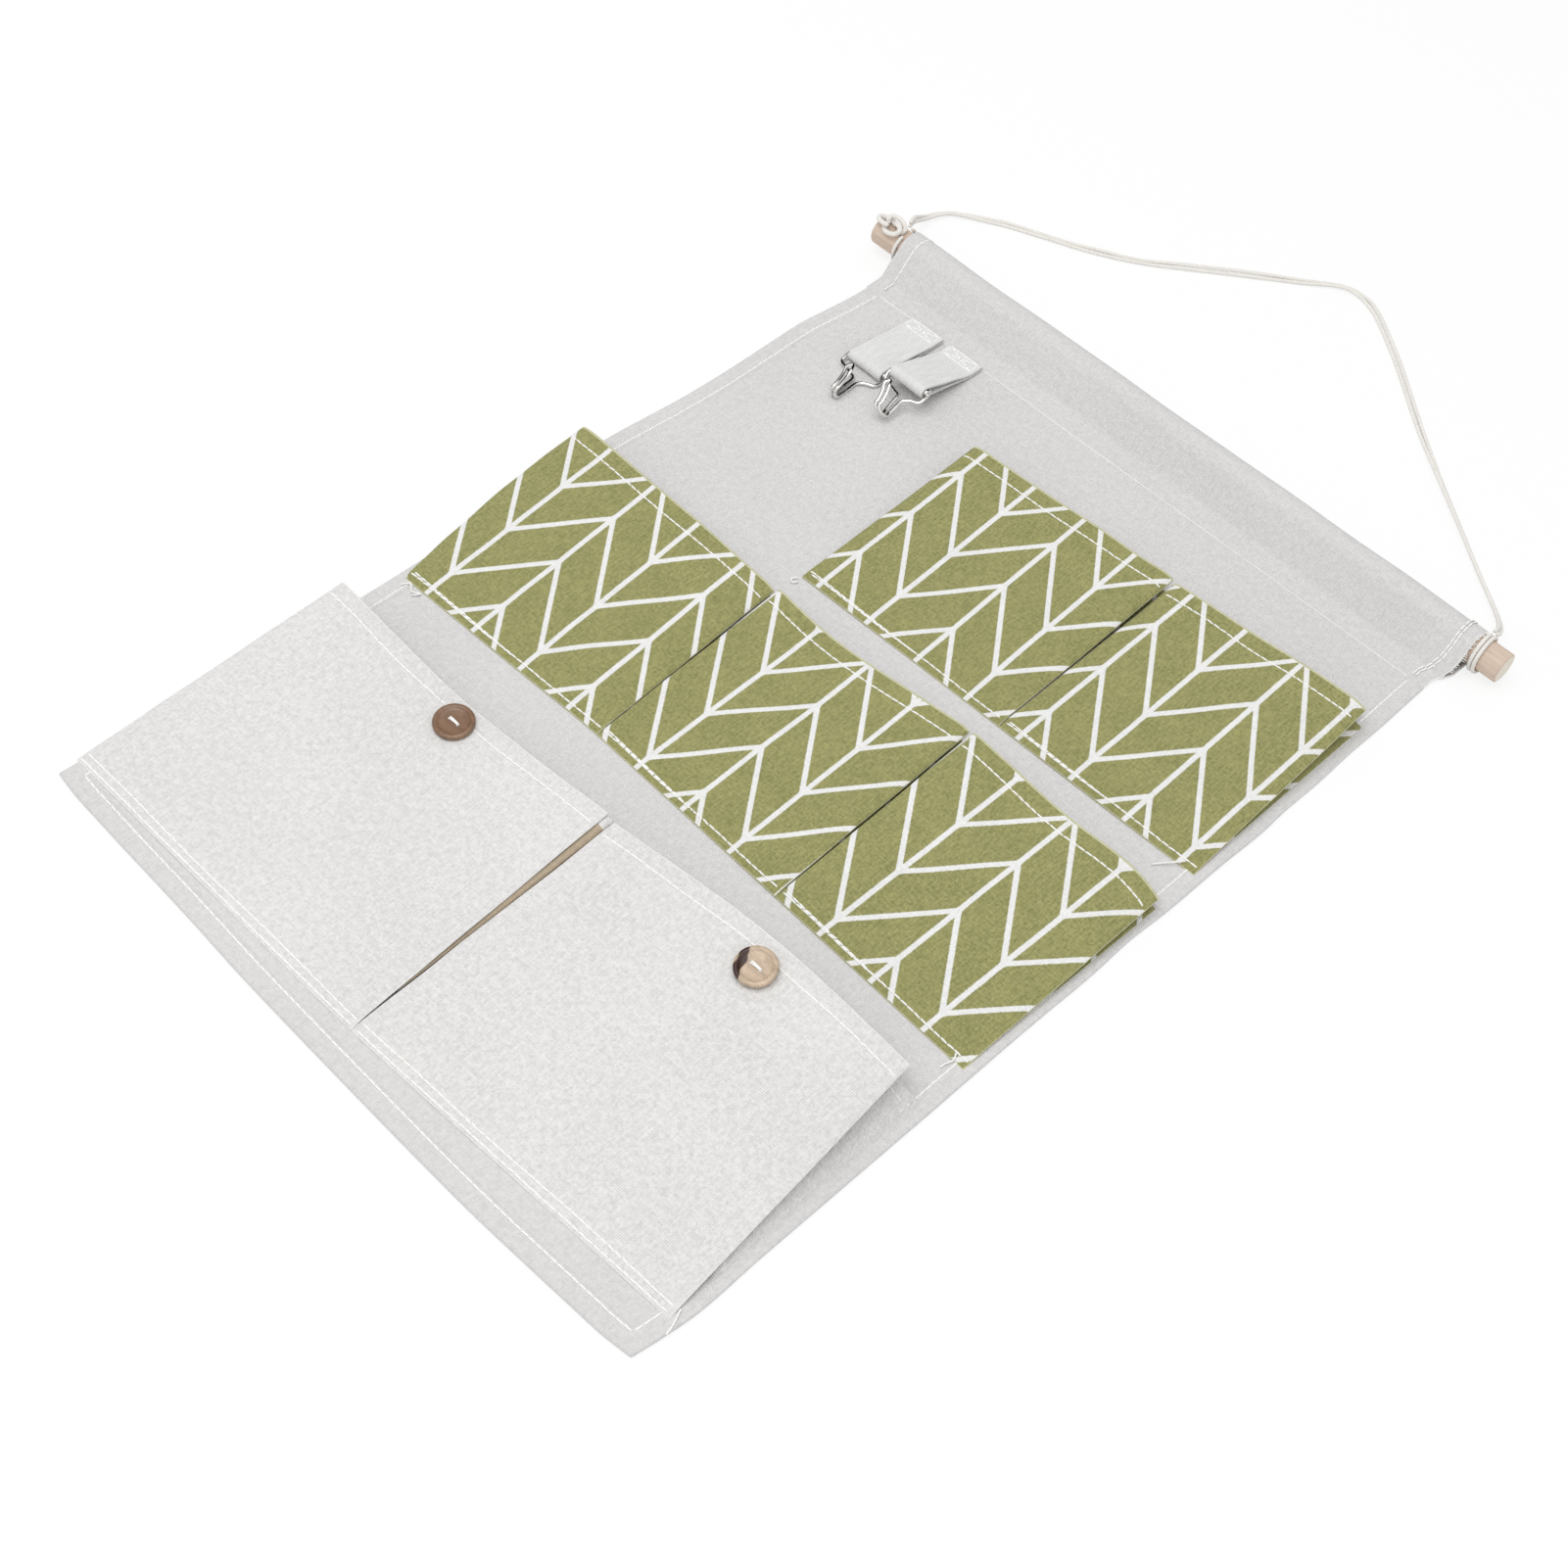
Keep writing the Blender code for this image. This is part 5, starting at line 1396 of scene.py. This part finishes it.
def thread_bridge():
    """Two strands of thread side by side, up through one hole, across and down the other."""
    half, over = HOLE_SPACING / 2, BUTTON_T - BUTTON_DISH + 0.0005
    bridge = Shell()
    for k in (-1, 1):
        off = THREAD_R * k
        route = ((-half, off, 0.0), (-half, off, over - 0.0009), (-half + 0.0008, off, over),
                 (half - 0.0008, off * 0.6, over), (half, off, over - 0.0009), (half, off, 0.0))
        add_rope(bridge, smooth_route(route, 60), THREAD_R, sides=10, plies=2, lay=0.0016,
                 depth=0.25)
    return bridge


def make_button(side, material, thread):
    """One two-hole button with its short bridge of thread, lying on its pocket front."""
    front = Front(f"lower_pocket_{side}")
    u, v = BUTTON_SPOTS[side]
    left, right, crown = front.stand
    top = (left + (right - left) * u + crown * math.sin(math.pi * u)) / 1000
    slope = math.atan2(top, front.run)
    x = (front.bottom[0] - 0.3 * (1 if side == "left" else 1)
         + (front.bottom[1] - front.bottom[0] + (0.6 if side == "left" else 0.3)) * u) / 1000
    z = CLOTH_TOP + top * v + POCKET_T + 2 * GAP
    place = Matrix.Translation(on_row(np.array([x, front.run * v, z]), "lower") + CORNER)
    place = place @ Matrix.Rotation(ROWS["lower"][2], 4, "Z") @ Matrix.Rotation(slope, 4, "X")
    blank = button_blank().build(f"{side}_button_shell", [material])
    drill_holes(blank, side, material)
    strand = thread_bridge().build(f"{side}_button_thread_strands", [thread])
    for new in (blank, strand):
        new.data.transform(Matrix.Translation(-CORNER))
        new.data.transform(place)
    blank.data.set_sharp_from_angle(angle=math.radians(50))
    shell_slot = "brown_shell" if side == "left" else "pale_shell"
    for new, slot, node_name in ((blank, shell_slot, f"{side}_button"),
                                 (strand, "white_thread", f"{side}_button_thread")):
        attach(new, f"lower_pocket_{side}_flap")
        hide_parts(node_name)


# ---------------------------------------------------------------- dowel and cord

def make_dowel(wood, end_grain):
    """Dowel: a round profile along X, its ends eased, its end faces closed with rings."""
    steps = 64
    half = (DOWEL_HIGH[0] - DOWEL_SHORT - DOWEL_LOW[0]) / 2
    middle = (DOWEL_HIGH[0] - DOWEL_SHORT + DOWEL_LOW[0]) / 2
    ends = np.array([(0.0, DOWEL_R - 0.0007), (0.0002, DOWEL_R - 0.00025), (0.0007, DOWEL_R)])
    xs = np.concatenate([-half + ends[:, 0], np.linspace(-half + 0.004, half - 0.004, 60),
                         half - ends[::-1, 0]])
    radius = np.concatenate([ends[:, 1], np.full(60, DOWEL_R), ends[::-1, 1]])
    angle = np.arange(steps) * 2 * math.pi / steps
    points = np.stack([np.broadcast_to((middle + xs)[:, None], (len(xs), steps)),
                       DOWEL_Y + radius[:, None] * np.cos(angle),
                       DOWEL_Z + radius[:, None] * np.sin(angle)], axis=-1)
    uv = np.stack(np.meshgrid(np.arange(steps + 1) / steps, xs), axis=-1)
    shell = Shell()
    shell.add_grid(points, uv, wrap=True, flip=True)
    for row, flip in ((0, False), (len(xs) - 1, True)):
        centre = np.array([middle + xs[row], DOWEL_Y, DOWEL_Z])
        shares = np.array([1.0, 0.7, 0.35])[:, None, None]
        rings = centre + (points[row] - centre)[None] * shares
        disc_uv = np.zeros((3, steps + 1, 2))
        disc = shell.add_grid(rings, disc_uv, wrap=True, flip=not flip, mark=1)
        shell.add_fan(disc + 2 * steps + np.arange(steps), centre, (0, 0), flip=flip, mark=1)
    piece = shell.build("dowel_wood", [wood, end_grain])
    weld = piece.modifiers.new("join", "WELD")
    weld.merge_threshold = 1e-6
    apply_modifiers(piece).set_sharp_from_angle(angle=math.radians(40))
    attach(piece, "hanger")
    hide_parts("dowel")


def strand_path(side, count):
    """One strand of the pair: the route set off sideways by half a strand pitch, square to it,
    level where the roll is 0 and upright where it is 1, and never lower than the floor."""
    route = np.asarray(CORD_ROUTE)
    rolled = np.column_stack([route, np.asarray(CORD_ROLL) * math.pi / 2])
    path = smooth_route(rolled, count)
    roll = path[:, 3][:, None]
    middle = path[:, :3].copy()
    middle[:, 2] += CORD_D / 2 + np.abs(np.sin(path[:, 3])) * STRAND_PITCH / 2
    along = unit(np.gradient(middle, axis=0))
    level = unit(np.stack([along[:, 1], -along[:, 0], np.zeros(len(along))], axis=1))
    upright = np.cross(level, along)
    offset = (level * np.cos(roll) - upright * np.sin(roll)) * STRAND_PITCH / 2
    points = middle + side * offset
    points[:, 2] = np.maximum(points[:, 2], CORD_D / 2)
    return points + (PANEL_W / 2, DOWEL_Y, 0)


def wrap_path(start, turns, off, direction, fineness=60):
    """Helix round the dowel, in the panel's frame, one strand further along each turn."""
    turn = np.linspace(0.0, turns, int(fineness * turns) + 1)
    angle = math.radians(start) + 2 * math.pi * turn
    edge = PANEL_W if direction > 0 else 0.0
    x = edge + off + direction * STRAND_PITCH * turn
    return np.stack([x, DOWEL_Y + WRAP_R * np.cos(angle), DOWEL_Z + WRAP_R * np.sin(angle)], axis=1)


def knot_path():
    """Open trefoil whose three lobes cross over and under, leaning on the dowel."""
    t = np.linspace(0.30, 2 * math.pi - 0.30, 240) + math.pi / 3
    reach = KNOT_LOBE * (2 + np.cos(3 * t))
    long, wide = KNOT_STRETCH
    points = np.stack([-long * reach * np.cos(2 * t), -wide * reach * np.sin(2 * t),
                       KNOT_LOBE * np.sin(3 * t)], axis=1)
    lift = DOWEL_R + GAP + CORD_D / 2 + KNOT_LOBE
    return turned(points, KNOT_LEAN, 0) + (-KNOT_OFF, DOWEL_Y - math.sin(KNOT_LEAN) * lift,
                                           DOWEL_Z + math.cos(KNOT_LEAN) * lift)


def make_cord(settings, cotton):
    """Two strands of the hanging cord, the wraps at both ends and the knot."""
    rope = dict(sides=15, plies=settings.plies, lay=settings.lay, depth=0.26)
    extras = []
    for name, path in (("left_cord_wraps", wrap_path(*LEFT_WRAPS)),
                       ("right_cord_wraps", wrap_path(*RIGHT_WRAPS)),
                       ("left_cord_knot", knot_path())):
        shell = Shell()
        add_rope(shell, path, CORD_D / 2 * (KNOT_THICK if name.endswith("knot") else 1), **rope)
        piece = shell.build(f"{name}_cotton", [cotton])
        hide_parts(name)
        extras.append(piece)
    for word, side in (("near", 1), ("far", -1)):
        path = strand_path(side, 900)
        shell = Shell()
        add_rope(shell, path, CORD_D / 2, **rope)
        piece = shell.build(f"hanging_cord_{word}_cotton", [cotton])
        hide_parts(f"hanging_cord_{word}")
        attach(piece, "hanger")
    for piece in extras:
        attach(piece, "hanger")


# ---------------------------------------------------------------- stage

def make_floor():
    """Pale floor that takes shadows and looks white to the camera."""
    floor = bpy.data.meshes.new("floor")
    corners = [(x * FLOOR_HALF, y * FLOOR_HALF, FLOOR_Z)
               for x, y in ((-1, -1), (1, -1), (1, 1), (-1, 1))]
    floor.from_pydata(corners, [], [(0, 1, 2, 3)])
    ground = add_object("floor", floor)
    material = bpy.data.materials.new("pale_floor")
    tree = bare_tree(material)
    ray = node(tree, "ShaderNodeLightPath").outputs
    matt = node(tree, "ShaderNodeBsdfDiffuse", {"Color": (0.86, 0.86, 0.86, 1)}).outputs[0]
    glow = node(tree, "ShaderNodeEmission", {"Color": WHITE, "Strength": 1.02}).outputs[0]
    seen = calc(tree, "MULTIPLY", ray["Is Camera Ray"], 0.80)
    seen = calc(tree, "MULTIPLY_ADD", ray["Is Glossy Ray"], 0.30, seen)
    mix = node(tree, "ShaderNodeMixShader", {0: seen, 1: matt, 2: glow}).outputs[0]
    node(tree, "ShaderNodeOutputMaterial", {"Surface": mix})
    floor.materials.append(material)


def make_cards():
    """Dark cards that only show as the dark outlines in the plated wire."""
    card = bpy.data.materials.new("black_card")
    tree = bare_tree(card)
    dull = node(tree, "ShaderNodeBsdfDiffuse", {"Color": (0.01, 0.01, 0.01, 1)}).outputs[0]
    node(tree, "ShaderNodeOutputMaterial", {"Surface": dull})
    side = bpy.data.meshes.new("black_cards")
    points = [(x, y, z) for z in CARD_Z for x, y in CARD_LINE]
    side.from_pydata(points, [], [(0, 1, 4, 3), (1, 2, 5, 4)])
    side.materials.append(card)
    cards = add_object("black_cards", side)
    cards.visible_camera = cards.visible_diffuse = cards.visible_shadow = False
    cards.visible_transmission = False


def make_room(ambient):
    """Even light of the room, and white where the camera or the wire sees past the floor."""
    world = bpy.data.worlds.new("studio")
    bpy.context.scene.world = world
    tree = bare_tree(world)
    ray = node(tree, "ShaderNodeLightPath").outputs
    even, white = (
        node(tree, "ShaderNodeBackground", {"Color": WHITE, "Strength": level}).outputs[0]
        for level in (ambient, 1.0))
    seen = calc(tree, "MAXIMUM", ray["Is Camera Ray"], ray["Is Glossy Ray"])
    mix = node(tree, "ShaderNodeMixShader", {0: seen, 1: even, 2: white}).outputs[0]
    node(tree, "ShaderNodeOutputWorld", {"Surface": mix})


def make_stage(settings):
    """Pale floor, even room light, one large soft light and the camera."""
    make_floor()
    make_cards()
    make_room(settings.ambient)

    light = bpy.data.lights.new("soft_light", "AREA")
    light.shape = "RECTANGLE"
    light.size, light.size_y = LAMP_SIZE
    light.energy = settings.key
    about_z, about_x = LAMP_TURN
    lamp = add_object("soft_light", light)
    lamp.matrix_world = (Matrix.Translation(LAMP_AT) @ Matrix.Rotation(about_z, 4, "Z")
                         @ Matrix.Rotation(about_x, 4, "X"))

    camera = bpy.data.cameras.new("camera")
    camera.lens = settings.lens
    camera.sensor_width = 36.0
    camera.clip_start, camera.clip_end = 0.02, 50.0
    eye = add_object("camera", camera)
    turn = Matrix((EYE_RIGHT, EYE_UP, EYE_BACK)).transposed().to_4x4()
    eye.matrix_world = Matrix.Translation(EYE_AT) @ turn
    bpy.context.scene.camera = eye
    bpy.context.scene.view_settings.view_transform = "Standard"


# ---------------------------------------------------------------- operators

def thread_for(context):
    """The sewing thread's material, made once."""
    name = "sewing_thread"
    return (bpy.data.materials.get(name)
            or thread_material(name, context.scene.organizer_cloth.thread))


def linen_for(context):
    """The panel's canvas, made once."""
    name = "panel_linen"
    cloth = context.scene.organizer_cloth
    return (bpy.data.materials.get(name)
            or canvas_material(name, cloth.linen, cloth.weave, contrast=0.085))


class ORGANIZER_OT_stage(Operator):
    """Set up the floor, the light and the camera"""

    bl_idname = "organizer.stage"
    bl_label = "Stage"

    def execute(self, context):
        """Make the stage."""
        make_stage(context.scene.organizer_stage)
        return {"FINISHED"}


class ORGANIZER_OT_cord(Operator):
    """Lay the hanging cord with its wraps and knot"""

    bl_idname = "organizer.cord"
    bl_label = "Hanging Cord"

    def execute(self, context):
        """Make the cord pieces."""
        settings = context.scene.organizer_cord
        make_cord(settings, cord_material("twisted_cotton", settings.colour))
        return {"FINISHED"}


class ORGANIZER_OT_dowel(Operator):
    """Turn the wooden dowel"""

    bl_idname = "organizer.dowel"
    bl_label = "Dowel"

    def execute(self, context):
        """Make the dowel."""
        wood = wood_material("pale_pine", context.scene.organizer_fittings.wood)
        make_dowel(wood, end_grain_material("sawn_end", (0.88, 0.80, 0.70)))
        return {"FINISHED"}


class ORGANIZER_OT_panel(Operator):
    """Cut, hem and sew the back panel and the dowel's sleeve"""

    bl_idname = "organizer.panel"
    bl_label = "Back Panel"

    def execute(self, context):
        """Make the panel and the sleeve."""
        cloth = context.scene.organizer_cloth
        make_panel(cloth, linen_for(context), thread_for(context))
        make_sleeve(linen_for(context), thread_for(context))
        return {"FINISHED"}


class ORGANIZER_OT_printed_pockets(Operator):
    """Fold and sew the two rows of printed pockets"""

    bl_idname = "organizer.printed_pockets"
    bl_label = "Printed Pockets"

    def execute(self, context):
        """Make the five printed pockets."""
        cloth = context.scene.organizer_cloth
        material = printed_material("chevron_cotton", context.scene.organizer_print, cloth.weave)
        # Pale yellow-green: a painted highlight along the printed pockets' folded edges.
        edge = canvas_material("printed_edge_highlight", (0.58, 0.57, 0.37), cloth.weave)
        for name in POCKETS:
            front = Front(name)
            if not front.plain:
                make_front(front, cloth.cell, material, thread_for(context), edge)
                make_pleats(front, cloth.cell, material, thread_for(context), edge, None)
        return {"FINISHED"}


class ORGANIZER_OT_plain_pockets(Operator):
    """Fold and sew the two plain lower pockets"""

    bl_idname = "organizer.plain_pockets"
    bl_label = "Plain Pockets"

    def execute(self, context):
        """Make the two plain pockets."""
        cloth = context.scene.organizer_cloth
        material = canvas_material("pocket_canvas", cloth.plain, cloth.weave, 0.125)
        # Near white: a painted highlight along the plain pockets' folded edges.
        edge = canvas_material("pocket_edge", (0.87, 0.86, 0.845), cloth.weave, 0.04)
        # Warm beige: painted shade inside the gap between the two plain pockets.
        painted_shade = canvas_material("pleat_painted_shade", (0.50, 0.41, 0.30), cloth.weave)
        for name in POCKETS:
            front = Front(name)
            if front.plain:
                make_front(front, cloth.cell, material, thread_for(context), edge)
                make_pleats(front, cloth.cell, material, thread_for(context), edge, painted_shade)
        return {"FINISHED"}


class ORGANIZER_OT_tabs(Operator):
    """Fold the webbing tabs and hang the wire hooks in them"""

    bl_idname = "organizer.tabs"
    bl_label = "Tabs and Hooks"

    def execute(self, context):
        """Make both tabs and both hooks."""
        webbing = webbing_material("ribbed_webbing", context.scene.organizer_cloth.webbing)
        wire = wire_material("plated_wire", context.scene.organizer_fittings.wire)
        for side in TABS:
            make_tab(side, webbing, thread_for(context))
            make_hook(side, wire)
        return {"FINISHED"}


class ORGANIZER_OT_buttons(Operator):
    """Turn, drill and sew on the two buttons"""

    bl_idname = "organizer.buttons"
    bl_label = "Buttons"

    def execute(self, context):
        """Make both buttons."""
        fittings = context.scene.organizer_fittings
        brown = shell_material("brown_coconut", fittings.brown, (0.03, 0.015, 0.01, 1))
        pale = shell_material("pale_coconut", fittings.pale, (0.045, 0.018, 0.012, 1), -0.0031)
        make_button("left", brown, thread_for(context))
        make_button("right", pale, thread_for(context))
        return {"FINISHED"}


class ORGANIZER_PT_sidebar(Panel):
    """Steps of building the organizer"""

    bl_label = "Pocket Organizer"
    bl_idname = "ORGANIZER_PT_sidebar"
    bl_space_type = "VIEW_3D"
    bl_region_type = "UI"
    bl_category = "Organizer"

    def draw(self, context):
        """List the settings and the steps."""
        for group in GROUPS:
            box = self.layout.box()
            settings = getattr(context.scene, group)
            for name in settings.bl_rna.properties.keys():
                if name not in {"rna_type", "name"}:
                    box.prop(settings, name)
        for step in STEPS:
            self.layout.operator(step.bl_idname)


STEPS = (ORGANIZER_OT_stage, ORGANIZER_OT_cord, ORGANIZER_OT_dowel, ORGANIZER_OT_panel,
         ORGANIZER_OT_printed_pockets, ORGANIZER_OT_plain_pockets, ORGANIZER_OT_tabs,
         ORGANIZER_OT_buttons)
GROUPS = {
    "organizer_cloth": ClothSettings,
    "organizer_print": PrintSettings,
    "organizer_cord": CordSettings,
    "organizer_fittings": FittingSettings,
    "organizer_stage": StageSettings,
}


def register():
    """Register the settings, the steps and the panel."""
    for group in GROUPS.values():
        bpy.utils.register_class(group)
    for name, group in GROUPS.items():
        setattr(bpy.types.Scene, name, PointerProperty(type=group))
    for step in (*STEPS, ORGANIZER_PT_sidebar):
        bpy.utils.register_class(step)


def unregister():
    """Take everything away again."""
    for step in (ORGANIZER_PT_sidebar, *reversed(STEPS)):
        bpy.utils.unregister_class(step)
    for name in GROUPS:
        delattr(bpy.types.Scene, name)
    for group in reversed(GROUPS.values()):
        bpy.utils.unregister_class(group)


def main():
    """Build the organizer."""
    register()
    for step in STEPS:
        package, name = step.bl_idname.split(".")
        getattr(getattr(bpy.ops, package), name)()


if __name__ == "__main__":
    main()
